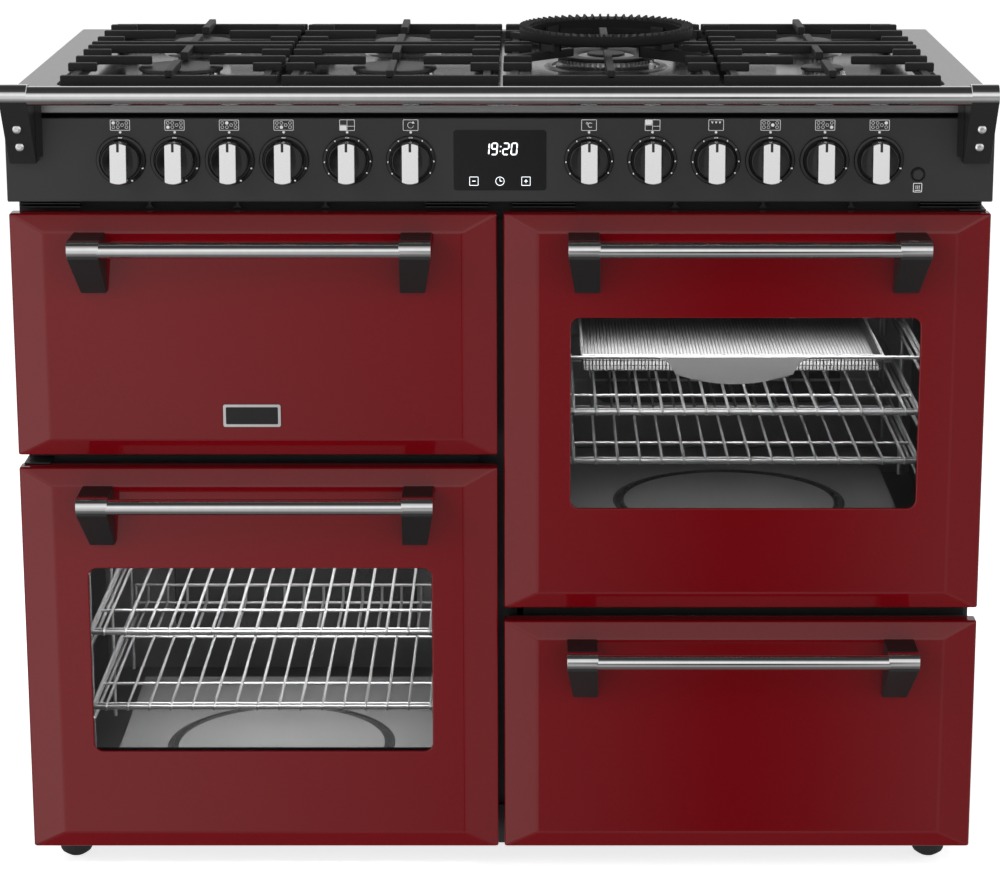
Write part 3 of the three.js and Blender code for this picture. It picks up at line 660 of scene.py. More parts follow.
def print_icons(icons, icon_z, dot_z):
    for index, name in enumerate(GAS_KNOBS):
        x = centre(name)[0]
        print_frame(icons, x, icon_z, 22, 12)
        for place, (dx, dz) in enumerate(HOB_MAP):
            if place == index:
                print_disc(icons, x + dx, icon_z + dz, 1.9)
            else:
                print_ring(icons, x + dx, icon_z + dz, 1.8, 0.4)
    for name in OVEN_KNOBS:
        x = centre(name)[0]
        print_frame(icons, x, icon_z, 17, 12.5)
    left, mode, heat, top, grill = [centre(name)[0] for name in OVEN_KNOBS]
    for x, cell in ((left, (-1, -1)), (top, (-1, 1))):
        print_line(icons, x, icon_z - 6, x, icon_z + 6)
        print_line(icons, x - 8, icon_z, x, icon_z)
        print_line(icons, x, icon_z - 1.2, x + 8, icon_z - 1.2)
        mid_x, mid_z = x + cell[0] * 4.2, icon_z + cell[1] * 3.1
        icons.box(mid_x - 3.6, mid_x + 3.6, *PRINT, mid_z - 2.5, mid_z + 2.5)
    arc_print(icons, mode, icon_z, 3.6, 60, 350)
    icons.prism([(mode + 1.2, icon_z + 1.8), (mode + 4.4, icon_z + 1.8), (mode + 2.8, icon_z + 4.6)],
                *PRINT)
    print_ring(icons, heat - 2.2, icon_z + 2.2, 1.2)
    arc_print(icons, heat + 1.4, icon_z, 2.9, 45, 315, 0.7)
    for x in (grill - 4.2, grill, grill + 4.2):
        icons.prism([(x - 1.4, icon_z + 4), (x + 1.4, icon_z + 4), (x, icon_z + 1.6)], *PRINT)
    for name in GAS_KNOBS + OVEN_KNOBS:
        print_disc(icons, centre(name)[0], dot_z, 1.45)


def make_bezel(bezels, marks, name):
    """The fixed ring behind a knob, and its printed marks."""
    x, _, z = joint_place(name + "_turn")
    bezels.lathe([(20, 0.0), (27.8, 0.0), (27.8, 1.6), (27.0, 2.6), (24.2, 3.0), (23.4, 2.0),
                  (20, 2.0)], (x, 0, z), "Y", 64)
    marks.box(x - 2.2, x + 2.2, *MARK, z + 25, z + 26.1)
    gas = name in GAS_KNOBS
    angles = [-20, -62] if gas else [215 - 31 * i for i in range(9)]
    for angle in angles:
        t = math.radians(angle)
        mark_x, mark_z = x + 25.6 * math.cos(t), z + 25.6 * math.sin(t)
        size = 1.0 if gas else 0.65
        marks.box(mark_x - size, mark_x + size, *MARK, mark_z - 0.8, mark_z + 0.8)


def make_knob(name):
    """A black dial and a chrome grip with a dark pointer, on the knob's own body."""
    x, _, z = joint_place(name + "_turn")
    grip_front = span(name)[2]
    dial = Shape().lathe(
        [(0, 3.4), (21.4, 3.4), (22, 4.0), (22, 9.6), (20.8, 11.4), (19.6, 11.8), (10, 10.4), (0, 10.2)],
        (x, 0, z), "Y", 56)
    dial.rod((x, -3.4, z), (x, 14, z), 4, 20)
    dial.piece(name + "_dial", MAT["gloss"], name, "black_trim", [name])
    half_wide, half_tall = 9.25, 22.8

    def lean(height):
        """The grip's face leans back towards its pointer end."""
        share = (height - z) / half_tall
        return 2.3 + 2.3 * share

    outline = [(x - half_wide, z - half_tall + 2.2)]
    for i in range(9):
        share = -1 + i / 4
        outline.append((x + half_wide * share, z - half_tall + 2.2 * share * share))
    outline.append((x + half_wide, z + half_tall - 2.2))
    for i in range(9):
        share = 1 - i / 4
        outline.append((x + half_wide * share, z + half_tall - 2.2 * share * share))
    outline = list(dict.fromkeys(outline))
    grip = Shape().prism(outline, grip_front, -10.4)
    for vert in grip.bm.verts:
        if vert.co.y < -20:
            vert.co.y += lean(vert.co.z)
    rounded_grip = Shape().take(grip.bm, 1.1, 3, lambda e: e.calc_face_angle(0) > math.radians(50))
    rounded_grip.piece(name + "_grip", MAT["grip"], name, "knob_chrome")
    pointer = Shape().box(x - 1.5, x + 1.5, grip_front - 0.15, grip_front + 6, z + 13,
                          z + half_tall - 0.2, 0.3)
    for vert in pointer.bm.verts:
        vert.co.y += lean(vert.co.z)
    pointer.piece(name + "_pointer", MAT["black"], name, "black_trim")


SEGMENTS = {"0": "abcdef", "1": "bc", "2": "abged", "9": "abcdfg"}


def clock_digit(shape, char, x, z, wide, tall, slant=0.08):
    """One seven-segment digit."""
    bar = 1.5
    half = tall / 2
    ends = {"a": ((0, tall), (wide, tall)), "g": ((0, half), (wide, half)), "d": ((0, 0), (wide, 0)),
            "f": ((0, half), (0, tall)), "b": ((wide, half), (wide, tall)),
            "e": ((0, 0), (0, half)), "c": ((wide, 0), (wide, half))}
    for segment in SEGMENTS[char]:
        (ax, az), (bx, bz) = ends[segment]
        level = az == bz
        gap = 0.95
        if level:
            ax, bx = ax + gap, bx - gap
        else:
            az, bz = az + gap, bz - gap
        a = Vector((x + ax + slant * az, z + az))
        b = Vector((x + bx + slant * bz, z + bz))
        along = (b - a).normalized()
        side = Vector((-along.y, along.x)) * bar / 2
        tip = along * bar / 2
        points = [a - tip, a - side, b - side, b + tip, b + side, a + side]
        shape.prism([(p.x, p.y) for p in points], *DIGIT)


def make_display(x0, x1, z0, z1):
    pane = Shape().prism(rounded(x0, x1, z0, z1, 3.5), -0.8, 0.4, bevel=0.0)
    pane.soften(0.35, 2, 60)
    pane.piece("display_glass", MAT["gloss"], "body", "black_trim")
    digits = Shape()
    mid = (x0 + x1) / 2
    base = z1 - 27.5
    for offset, char in ((-18.5, "1"), (-9.6, "9"), (3.2, "2"), (12.4, "0")):
        clock_digit(digits, char, mid + offset, base, 6.0, 12.6)
    for rise in (3.6, 9.0):
        digits.prism(circle(mid + 0.2 + rise * 0.08, base + rise, 0.8), *DIGIT)
    icon_z = z0 + 10.5
    for offset, kind in ((-29, "minus"), (0, "clock"), (29, "plus")):
        x = mid + offset
        if kind == "clock":
            digits.frame_plate(circle(x, icon_z, 5.0, 28), circle(x, icon_z, 4.45, 28), *DIGIT)
            digits.box(x - 0.3, x + 0.3, *DIGIT, icon_z, icon_z + 3.4)
            digits.box(x, x + 2.6, *DIGIT, icon_z - 0.3, icon_z + 0.3)
            continue
        digits.frame_plate(rounded(x - 5, x + 5, icon_z - 5, icon_z + 5, 0.9),
                           rounded(x - 4.5, x + 4.5, icon_z - 4.5, icon_z + 4.5, 0.6), *DIGIT)
        digits.box(x - 2, x + 2, *DIGIT, icon_z - 0.35, icon_z + 0.35)
        if kind == "plus":
            digits.box(x - 0.35, x + 0.35, *DIGIT, icon_z - 2, icon_z + 2)
    digits.piece("display_digits", MAT["digits"], "body", "knob_chrome")


def make_panel():
    x0, x1, d0, d1, z0, z1 = span("control_panel")
    shell = Shape().box(x0, x1, d0, d1, z0, z1, 1.6, 3)
    shell.piece("control_fascia", MAT["panel"], "body", "panel_black", ["control_panel"])
    knob_z = joint_place("knob_grill_turn")[2]
    icons, bezels, marks = Shape(), Shape(), Shape()
    print_icons(icons, knob_z + 39.3, knob_z + 31.3)
    for name in GAS_KNOBS + OVEN_KNOBS:
        make_bezel(bezels, marks, name)
        make_knob(name)
    bezels.piece("knob_bezels", MAT["gloss"], "body", "black_trim")
    marks.piece("bezel_marks", MAT["print"], "body", "knob_chrome")
    b0, b1, _, _, b2, b3 = span("panel_button")
    button_x, button_z = (b0 + b1) / 2, (b2 + b3) / 2
    print_frame(icons, button_x, button_z - 15, 10, 10.5, 0.7, 1.2)
    print_line(icons, button_x - 3.2, button_z - 18, button_x + 3.2, button_z - 18, 0.8)
    for step in (-1.8, 0, 1.8):
        print_line(icons, button_x + step, button_z - 16.5, button_x + step, button_z - 12.5, 0.6)
    icons.piece("panel_print", MAT["print"], "body", "knob_chrome")
    ring = Shape().lathe([(6.4, 0), (8.2, 0), (8.2, 0.7), (7.6, 1.3), (6.8, 1.3), (6.4, 0.8)],
                         (button_x, 0, button_z), "Y", 40)
    ring.piece("button_ring", MAT["gloss"], "body", "black_trim")
    cap = Shape().lathe([(0, -13.5), (5.9, -13.5), (5.9, 1.4), (5.3, 2.0), (0, 2.0)],
                        (button_x, 0, button_z), "Y", 36)
    cap.piece("button_cap", MAT["panel"], "panel_button", "black_trim", ["panel_button"])
    make_display(-51.7, 51.7, z1 - 81.5, z1 - 13.5)


# ---------------------------------------------------------------- towel rail
def make_rail():
    x0, x1, d0, d1, z0, z1 = span("towel_rail")
    mid_d, mid_z, radius = (d0 + d1) / 2, (z0 + z1) / 2, (z1 - z0) / 2
    rail = Shape().rod((x0 - 2, mid_d, mid_z), (x1 + 2, mid_d, mid_z), radius, 48)
    rail.piece("rail_tube", MAT["chrome"], "body", "rail_chrome", ["towel_rail"])
    sleeves, screws = Shape(), Shape()
    for node in ("rail_bracket_left", "rail_bracket_right"):
        b0, b1, _, e1, c0, c1 = span(node)
        sleeves.lathe([(0, b0), (radius + 0.6, b0), (radius + 1.4, b0 + 0.8),
                       (radius + 1.4, b1 - 0.8), (radius + 0.6, b1), (0, b1)],
                      (0, mid_d + 1.4, mid_z + 0.6), "X", 48)
        legs = Shape()
        foot = 15
        outline = [(e1, c0), (e1, c1 - 14), (mid_d + 8, mid_z + 9), (mid_d - 4, mid_z),
                   (mid_d - radius + 1.5, mid_z - 6), (-foot, c0)]
        legs.prism(outline, b0 + 0.3, b1 - 0.3, "YZ", 0.9, 2)
        flare = 5 if b0 < 0 else -5
        inner = b1 if b0 < 0 else b0
        legs.prism([(inner - flare * 0.4, 0), (inner + flare, 0), (inner, -14)], c0 + 6, c1 - 16, "XY")
        legs.piece(node + "_leg", MAT["black"], "body", "black_trim", [node])
        slope_top, slope_low = (mid_d - radius + 1.5, mid_z - 6), (-foot, c0)
        for share in (0.43, 0.72):
            d = slope_top[0] + (slope_low[0] - slope_top[0]) * share
            z = slope_top[1] + (slope_low[1] - slope_top[1]) * share
            add_screw(screws, (b0 + b1) / 2, d, z)
    sleeves.piece("rail_sleeves", MAT["chrome"], "body", "rail_chrome")
    screws.piece("rail_screws", MAT["chrome"], "body", "rail_chrome")


def add_screw(shape, x, d, z):
    """A button-head screw with a socket, its axis along the depth."""
    shape.lathe([(0, -2), (5.2, -2), (5.4, 0.6), (4.6, 2.2), (2.9, 3.0), (2.2, 3.0), (2.0, 1.4),
                 (0, 1.4)], (x, d, z), "Y", 24)


# ---------------------------------------------------------------- hob
BAR = 9.0  # width of a cast bar
BAR_TALL = 10  # height of the bars that carry the pans
MIDDLE = 16  # half the distance between the two middle bars
FINGER_END = 34  # from a burner's centre to the ends of its fingers
STUB_SPREAD = 61  # from a burner's centre to the short bars in front and behind
STUB = 33  # length of a short bar
WOK_FINGER_END = 60
CORNERS = ((-1, -1), (1, -1), (1, 1), (-1, 1))


def make_hob_plate():
    x0, x1, d0, d1, z0, z1 = span("hob_plate")
    plate = Shape().box(x0, x1, d0, d1, z0, z1, 2.2, 3)
    well = Shape().prism(rounded(x0 + 45, x1 - 45, 76, d1 - 21, 22), z1 - 12, z1 + 8, "XY")
    plate.carve(well).soften(1.6, 3, 70)
    plate.piece("hob_tray", MAT["steel"], "body", "hob_steel", ["hob_plate"])
    floor = Shape().prism(rounded(x0 + 46.5, x1 - 46.5, 77.5, d1 - 22.5, 20), z1 - 12.6, z1 - 11.6, "XY")
    floor.piece("hob_well_floor", MAT["well"], "body", "hob_steel")


def iron_bar(shape, x0, x1, d0, d1, z0, z1):
    shape.box(x0, x1, d0, d1, z0, z1, 1.3, 2)


def support_frame(shape, x0, x1, d0, d1, z0, z1):
    """The lower rails, the front and back bars and the four corner feet."""
    rail_top, rail_low = z1 - 6, z1 - 18.5
    for a in (x0 + BAR, x1 - 2 * BAR):
        iron_bar(shape, a, a + BAR, d0 + 2, d1 - 2, rail_low, rail_top - 1)
        for d in (d0, d1 - BAR):
            shape.lathe([(0, z0), (5.5, z0), (6.5, z0 + 3), (6.5, rail_low + 2), (0, rail_low + 2)],
                        (a + BAR / 2, d + BAR / 2, 0), "Z", 16)
    for d in (d0, d1 - BAR):
        iron_bar(shape, x0, x1, d, d + BAR, rail_low, rail_top)


def finger_bar(shape, x0, x1, d, z1):
    iron_bar(shape, x0, x1, d - BAR / 2, d + BAR / 2, z1 - BAR_TALL, z1)


def make_pan_support(node, burners):
    x0, x1, d0, d1, z0, z1 = span(node)
    shape = Shape()
    support_frame(shape, x0, x1, d0, d1, z0, z1)
    mid = (d0 + d1) / 2
    x = (x0 + x1) / 2
    for d in (mid - MIDDLE, mid + MIDDLE):
        finger_bar(shape, x0, x1, d, z1)
    for burner in burners:
        burner_d = centre(burner)[1]
        finger_bar(shape, x0, x - FINGER_END, burner_d, z1)
        finger_bar(shape, x + FINGER_END, x1, burner_d, z1)
        for d in (burner_d - STUB_SPREAD, burner_d + STUB_SPREAD):
            finger_bar(shape, x0, x0 + STUB, d, z1)
            finger_bar(shape, x1 - STUB, x1, d, z1)
        ends = (d0, mid - MIDDLE) if burner_d < mid else (mid + MIDDLE, d1)
        iron_bar(shape, x - BAR / 2, x + BAR / 2, ends[0], burner_d - FINGER_END, z1 - BAR_TALL, z1)
        iron_bar(shape, x - BAR / 2, x + BAR / 2, burner_d + FINGER_END, ends[1], z1 - BAR_TALL, z1)
    shape.piece(node + "_casting", MAT["iron"], node, "cast_iron", [node])


def make_wok_support(node):
    x0, x1, d0, d1, z0, z1 = span(node)
    shape = Shape()
    support_frame(shape, x0, x1, d0, d1, z0, z1)
    x, mid = (x0 + x1) / 2, (d0 + d1) / 2
    front, back = centre("burner_front_left")[1], centre("burner_back_left")[1]
    for d in (front - STUB_SPREAD, front, mid - MIDDLE, mid + MIDDLE, back, back + STUB_SPREAD):
        finger_bar(shape, x0, x0 + STUB, d, z1)
        finger_bar(shape, x1 - STUB, x1, d, z1)
    run = (x1 - x0) / 2 - BAR
    tip = WOK_FINGER_END * math.sqrt(0.5)
    for dx, dd in CORNERS:
        shape.bar((x + dx * run, mid + dd * run), (x + dx * tip, mid + dd * tip), BAR,
                  z1 - BAR_TALL, z1, 1.3)
    iron_bar(shape, x - BAR / 2, x + BAR / 2, d0, mid - WOK_FINGER_END, z1 - BAR_TALL, z1)
    iron_bar(shape, x - BAR / 2, x + BAR / 2, mid + WOK_FINGER_END, d1, z1 - BAR_TALL, z1)
    shape.piece(node + "_casting", MAT["iron"], node, "cast_iron", [node])


def make_wok_ring():
    x0, x1, d0, d1, z0, z1 = span("wok_ring")
    x, mid, radius = (x0 + x1) / 2, (d0 + d1) / 2, (x1 - x0) / 2
    low = z1 - 16
    inner = radius - 13
    shape = Shape()
    shape.lathe([(inner + 2, low), (radius - 3, low), (radius - 0.5, low + 3), (radius, z1 - 4.2),
                 (radius - 1, z1 - 3.2), (inner + 1, z1 - 5.2), (inner, z1 - 6)], (x, mid, 0), "Z", 96)
    teeth = 66
    for i in range(teeth):
        turn = math.tau * i / teeth
        tooth = bmesh.new()
        outline = [(-2.9, -5.6), (2.9, -5.6), (0.9, 0), (-0.9, 0)]
        ends = []
        for reach, drop in ((inner + 0.6, 1.8), (radius - 0.2, 0)):
            ends.append([tooth.verts.new((reach, a, z1 + b - drop)) for a, b in outline])
        tooth.faces.new(ends[0])
        tooth.faces.new(ends[1][::-1])
        for j in range(4):
            k = (j + 1) % 4
            tooth.faces.new((ends[0][k], ends[0][j], ends[1][j], ends[1][k]))
        face_out(tooth)
        tooth.transform(Matrix.Translation((x, mid, 0)) @ Matrix.Rotation(turn, 4, "Z"))
        shape.take(tooth)
    near, far = 90 * math.sqrt(0.5), 102 * math.sqrt(0.5)
    for dx, dd in CORNERS:
        shape.bar((x + dx * near, mid + dd * near), (x + dx * far, mid + dd * far), 22, z0, low + 4,
                  1.5)
    shape.piece("wok_ring_casting", MAT["iron"], "wok_ring", "cast_iron", ["wok_ring"])


def ported_crown(shape, x, d, base, top, radius, slots):
    """A burner crown: a bright ring whose rim is cut into ports."""
    shape.lathe([(0, base), (radius + 4, base), (radius + 4, base + 2), (radius, base + 4),
                 (radius - 1.5, top - 5), (radius - 1.5, top), (0, top)], (x, d, 0), "Z", 48)
    for i in range(slots):
        t = math.tau * i / slots
        a = (x + (radius - 6) * math.cos(t), d + (radius - 6) * math.sin(t))
        b = (x + (radius + 1.2) * math.cos(t), d + (radius + 1.2) * math.sin(t))
        shape.bar(a, b, math.tau * radius / slots * 0.5, top - 5, top - 0.2)


def make_burner(node):
    x, d, _ = centre(node)
    _, _, d0, d1, z0, z1 = span(node)
    radius = (d1 - d0) / 2
    crown, cap = Shape(), Shape()
    top = z1 - 5
    ported_crown(crown, x, d, z0, top, radius - 5, int(radius * 0.9))
    if node == "burner_wok":
        cap.lathe([(34, top), (radius - 1, top), (radius, top + 1.4), (radius - 1.5, z1 - 1),
                   (radius - 4, z1 - 0.3), (38, z1 - 1.6), (34, top + 2)], (x, d, 0), "Z", 72)
        crown.lathe([(0, top - 1), (36, top - 1), (36, top + 1.4), (26, top + 2.6), (0, top + 2.6)],
                    (x, d, 0), "Z", 48)
        cap.lathe([(0, top + 2.4), (22, top + 2.4), (23, top + 3.4), (22.4, z1), (19, z1 + 0.4),
                   (0, z1 + 0.6)], (x, d, 0), "Z", 48)
    else:
        cap.lathe([(0, top), (radius - 1, top), (radius, top + 1.2), (radius - 0.5, z1 - 1.4),
                   (radius - 2.5, z1 - 0.4), (radius * 0.6, z1 - 0.05), (0, z1)], (x, d, 0), "Z", 64)
    crown.lathe([(radius + 4, z0), (radius + 13, z0), (radius + 12, z0 + 1.2), (radius + 8, z0 + 2.2),
                 (radius + 4, z0 + 2.2)], (x, d, 0), "Z", 48)
    spark = (x + (radius + 5) * 0.8, d - (radius + 5) * 0.6, 0)
    electrode = Shape().lathe([(0, z0), (3.2, z0), (3.2, z0 + 8), (1.6, z0 + 9), (1.6, z0 + 12),
                               (0, z0 + 12)], spark, "Z", 16)
    electrode.piece(node + "_electrode", MAT["print"], "body", "burner_metal")
    crown.piece(node + "_crown", MAT["crown"], "body", "burner_metal", [node])
    cap.piece(node + "_cap", MAT["cap"], "body", "burner_metal")


def make_hob():
    make_hob_plate()
    make_pan_support("pan_support_left", ["burner_front_left", "burner_back_left"])
    make_pan_support("pan_support_centre_left", ["burner_front_centre", "burner_back_centre"])
    make_pan_support("pan_support_right", ["burner_front_right", "burner_back_right"])
    make_wok_support("pan_support_wok")
    make_wok_ring()
    for node in ("burner_front_left", "burner_back_left", "burner_front_centre",
                 "burner_back_centre", "burner_wok", "burner_front_right", "burner_back_right"):
        make_burner(node)


# ---------------------------------------------------------------- ovens
LEDGES = {"grill_cavity": [0.4, 0.62], "left_oven_cavity": [0.275, 0.51, 0.75],
          "right_oven_cavity": [0.268, 0.432, 0.62, 0.82]}
FLANGE = 20.0


def cavity_inside(node):
    x0, x1, d0, d1, z0, z1 = span(node)
    return x0 + FLANGE, x1 - FLANGE, d0, d1 - 2, z0 + FLANGE, z1 - FLANGE


def make_cavity(node):
    """An enamelled box with a front flange, side racks, a rear fan cover and a pressed floor, whose
    lighter floor plate is painted light.
    """
    x0, x1, d0, d1, z0, z1 = cavity_inside(node)
    shell = Shape().box(x0 - 2, x1 + 2, d0, d1 + 2, z0 - 2, z1 + 2, 6, 3)
    shell.box(x0 - FLANGE, x1 + FLANGE, d0, d0 + 2.4, z0 - FLANGE, z1 + FLANGE, 0.8, 2)
    inside = Shape().box(x0, x1, d0 - 40, d1, z0, z1, 14, 5)
    shell.carve(inside)
    mid_x, mid_d = (x0 + x1) / 2, (d0 + d1) / 2 - 40
    shell.piece(node + "_liner", MAT["enamel"], "body", "oven_enamel", [node])
    if node != "grill_cavity":
        # The floor plate's lighter grey is painted light on the oven floor.
        plate = Shape().box(x0 + 14, x1 - 14, d0 + 2, d1 - 16, z0 + 0.2, z0 + 1.2, 0.4)
        plate.piece(node + "_floor", MAT["floor"], "body", "oven_enamel")
        ring = Shape()
        ring.lathe([(128, z0 + 1), (142, z0 + 1), (139, z0 + 2.4), (134, z0 + 3.2), (130, z0 + 2.6)],
                   (mid_x, mid_d, 0), "Z", 72)
        ring.piece(node + "_floor_ring", MAT["enamel"], "body", "oven_enamel")
        make_fan_cover(node, mid_x, d1, z0, z1)
    else:
        make_grill_element(node, x0, x1, d0, d1, z1)
    make_racks(node, x0, x1, d0, d1, z0, z1)
    mouth = (x0, x1, z0, z1)
    gasket = Shape().frame_plate(around(mouth, 15, 20), around(mouth, 8, 16), d0 - 5.5, d0 + 0.3)
    gasket.soften(1.6, 2, 60)
    gasket.piece(node + "_gasket", MAT["rubber"], "body", "foot_black")


def make_fan_cover(node, mid_x, back, z0, z1):
    cover = Shape()
    mid_z = (z0 + z1) / 2 + 10
    cover.prism(rounded(mid_x - 160, mid_x + 160, z0 + 60, z1 - 50, 18), back - 12, back - 4,
                bevel=0)
    cover.soften(2.5, 3, 60)
    cover.piece(node + "_fan_cover", MAT["enamel"], "body", "oven_enamel")
    # Black marks for the cover's radial ports and top vents: painted shade standing for the openings.
    slots = Shape()
    for i in range(12):
        t = math.tau * i / 12
        a = (mid_x + 26 * math.cos(t), back - 12.3, mid_z + 26 * math.sin(t))
        b = (mid_x + 62 * math.cos(t), back - 12.3, mid_z + 62 * math.sin(t))
        slots.rod(a, b, 3.2, 10)
    for row in range(2):
        for i in range(11):
            x = mid_x - 130 + i * 26
            slots.rod((x, back - 12.2, z1 - 62 - row * 14), (x, back - 12.2, z1 - 70 - row * 14), 3, 8)
    slots.piece(node + "_fan_port_shade", MAT["black"], "body", "black_trim")
    lamp = Shape().lathe([(0, 0), (19, 0), (19, 4), (16, 7), (0, 8.5)],
                         (mid_x + 120, back - 12, z1 - 88), "Y", 32)
    lamp.piece(node + "_lamp", MAT["inner_glass"], "body", "door_glass")


def make_grill_element(node, x0, x1, d0, d1, z1):
    coil = Shape()
    runs = 6
    left, right = x0 + 50, x1 - 50
    front, back = d0 + 60, d1 - 70
    points = []
    for i in range(runs):
        x = left + (right - left) * i / (runs - 1)
        ends = (front, back) if i % 2 == 0 else (back, front)
        points += [(x, ends[0], z1 - 22), (x, ends[1], z1 - 22)]
    coil.wire(points, 3.4, 10)
    coil.piece(node + "_element", MAT["iron"], "body", "cast_iron")


def make_racks(node, x0, x1, d0, d1, z0, z1):
    """Wire ladder racks on both side walls."""
    rack = Shape()
    front, back = d0 + 18, d1 - 24
    for side, wall in ((1, x0), (-1, x1)):
        inner = wall + side * 7
        for share in LEDGES[node]:
            level = z0 + share * (z1 - z0)
            for drop in (2.3, 16):
                rack.wire([(inner - side * 5, front, level - drop), (inner, front + 6, level - drop),
                           (inner, back - 6, level - drop), (inner - side * 5, back, level - drop)],
                          2.2, 8)
        for d in (front + 26, (front + back) / 2, back - 26):
            rack.rod((wall + side * 3.2, d, z0 + 24), (wall + side * 3.2, d, z1 - 24), 2.2, 8)
    rack.piece(node + "_side_racks", MAT["wire"], "body", "shelf_wire")


def make_shelf(node):
    """Round wires that run over a thick front bar, in a frame with a raised back."""
    x0, x1, d0, d1, z0, z1 = span(node)
    shelf = Shape()
    mid_z = (z0 + z1) / 2
    wire, thick = 1.8, 2.9
    low = z0 + thick - 1.4
    shelf.rod((x0 + 3, d0 + 3, low), (x1 - 3, d0 + 3, low), thick, 14)
    shelf.rod((x0 + 12, d0 + 9, mid_z + 1.8), (x1 - 12, d0 + 9, mid_z + 1.8), 1.4, 8)
    for d in (d0 + 88, (d0 + d1) / 2 + 60, d1 - 4):
        shelf.rod((x0 + 6, d, mid_z - 1), (x1 - 6, d, mid_z - 1), 1.9, 10)
    for x in (x0 + 6, x1 - 6):
        shelf.wire([(x, d0 + 3, mid_z), (x, d1 - 2, mid_z), (x, d1, mid_z + 22)], 2.2, 10)
    shelf.rod((x0 + 6, d1, mid_z + 22), (x1 - 6, d1, mid_z + 22), 2.2, 10)
    pitch = 25.6
    count = int((x1 - x0 - 40) / pitch)
    start = (x0 + x1) / 2 - pitch * count / 2
    for i in range(count + 1):
        x = start + i * pitch
        shelf.wire([(x, d0 - 0.5, low - 2.6), (x, d0 - 0.6, low + 1), (x, d0 + 3.5, mid_z + 2.2),
                    (x, d1 - 4, mid_z + 1.4), (x, d1, mid_z + 21)], wire, 8)
    shelf.piece(node + "_wires", MAT["wire"], "body", "shelf_wire", [node])


def make_tray():
    """A mesh basket in a wire frame, with a smooth curved plate at its front."""
    x0, x1, d0, d1, z0, z1 = span("air_fry_tray")
    rim, tag_low = z1 - 1, z0
    front = d0 + 2
    hoop = Shape()
    hoop.wire([(x0 + 3, front, rim), (x1 - 3, front, rim), (x1 - 3, d1, rim), (x0 + 3, d1, rim),
               (x0 + 3, front, rim)], 2.1, 10)
    basket = (x0 + 32, x1 - 50, front + 8, d1 - 30)
    floor = rim - 17
    mesh = Shape()
    step = 4.0
    thin = 0.62
    b0, b1, e0, e1 = basket
    hoop.wire([(b0, e0, rim), (b1, e0, rim), (b1, e1, rim), (b0, e1, rim), (b0, e0, rim)], 1.8, 8)
    columns = int((b1 - b0) / step)
    rows = int((e1 - e0) / step)
    for i in range(columns + 1):
        x = b0 + (b1 - b0) * i / columns
        mesh.wire([(x, e0, rim), (x, e0 + 2, floor), (x, e1 - 2, floor), (x, e1, rim)], thin, 4)
    for i in range(rows + 1):
        d = e0 + (e1 - e0) * i / rows
        mesh.wire([(b0, d, rim), (b0 + 2, d, floor), (b1 - 2, d, floor), (b1, d, rim)], thin, 4)
    for share in (0.33, 0.66):
        z = rim - 17 * share
        mesh.wire([(b0 + 1, e0 + 1, z), (b1 - 1, e0 + 1, z), (b1 - 1, e1 - 1, z),
                   (b0 + 1, e1 - 1, z), (b0 + 1, e0 + 1, z)], thin, 4)
    mesh.piece("tray_mesh", MAT["mesh"], "body", "tray_steel")
    mid = (x0 + x1) / 2 - 8
    half, drop = 85, rim - tag_low
    points = [(mid - half - 6, rim + 1.2), (mid - half + 8, rim - 4), (mid - half + 16, rim - 15)]
    for i in range(13):
        share = -1 + i / 6
        points.append((mid + (half - 17) * share, rim - drop + 11 * share * share))
    points += [(mid + half - 16, rim - 15), (mid + half - 8, rim - 4), (mid + half + 6, rim + 1.2)]
    points = sorted(set(points), key=points.index)
    tag = Shape().prism(points, d0 - 0.6, d0 + 1.0)
    for vert in tag.bm.verts:
        vert.co.y -= (rim - vert.co.z) * 0.3
    tag.soften(0.5, 2, 60)
    tag.piece("tray_tag", MAT["plate"], "body", "tray_steel")
    hoop.piece("tray_frame", MAT["wire"], "body", "tray_steel", ["air_fry_tray"])


def make_ovens():
    for node in ("grill_cavity", "left_oven_cavity", "right_oven_cavity"):
        make_cavity(node)
    for side in ("left", "right"):
        for level in ("lower", "upper"):
            make_shelf(f"{side}_oven_{level}_shelf")
    make_tray()


# ---------------------------------------------------------------- body shell
def paint(node, material):
    obj = frame["nodes"][node]
    obj.data.materials.clear()
    obj.data.materials.append(material)


def make_vent_strip():
    """The slotted strip that shows between the control panel and the upper doors."""
    x0, x1, _, _, low, _ = span("control_panel")
    top_door = span("grill_door_panel")[5]
    strip = Shape()
    strip.box(x0 + 7, x1 - 7, 40, 46, top_door - 14, low - 0.2)
    strip.piece("vent_back", MAT["rubber"], "body", "foot_black")
    bars = Shape()
    z0, z1 = top_door + 1, low - 0.6
    for side in (-1, 1):
        for i in range(3):
            x = side * (187 + 99 * i + 10)
            bars.prism([(x - 5, z0), (x + 5, z0), (x + 1.6, z0 + 3.5), (x + 1.6, z1 - 3.5), (x + 5, z1),
                        (x - 5, z1), (x - 1.6, z1 - 3.5), (x - 1.6, z0 + 3.5)], 30, 33)
        for near, far in ((14, 84), (472, 540)):
            for step in range(3):
                z = z0 + 1.5 + step * 3.8
                a, b = sorted((side * near, side * far))
                bars.box(a, b, 22, 38, z, z + 1.6, 0.4)
    bars.piece("vent_bars", MAT["black"], "body", "black_trim")


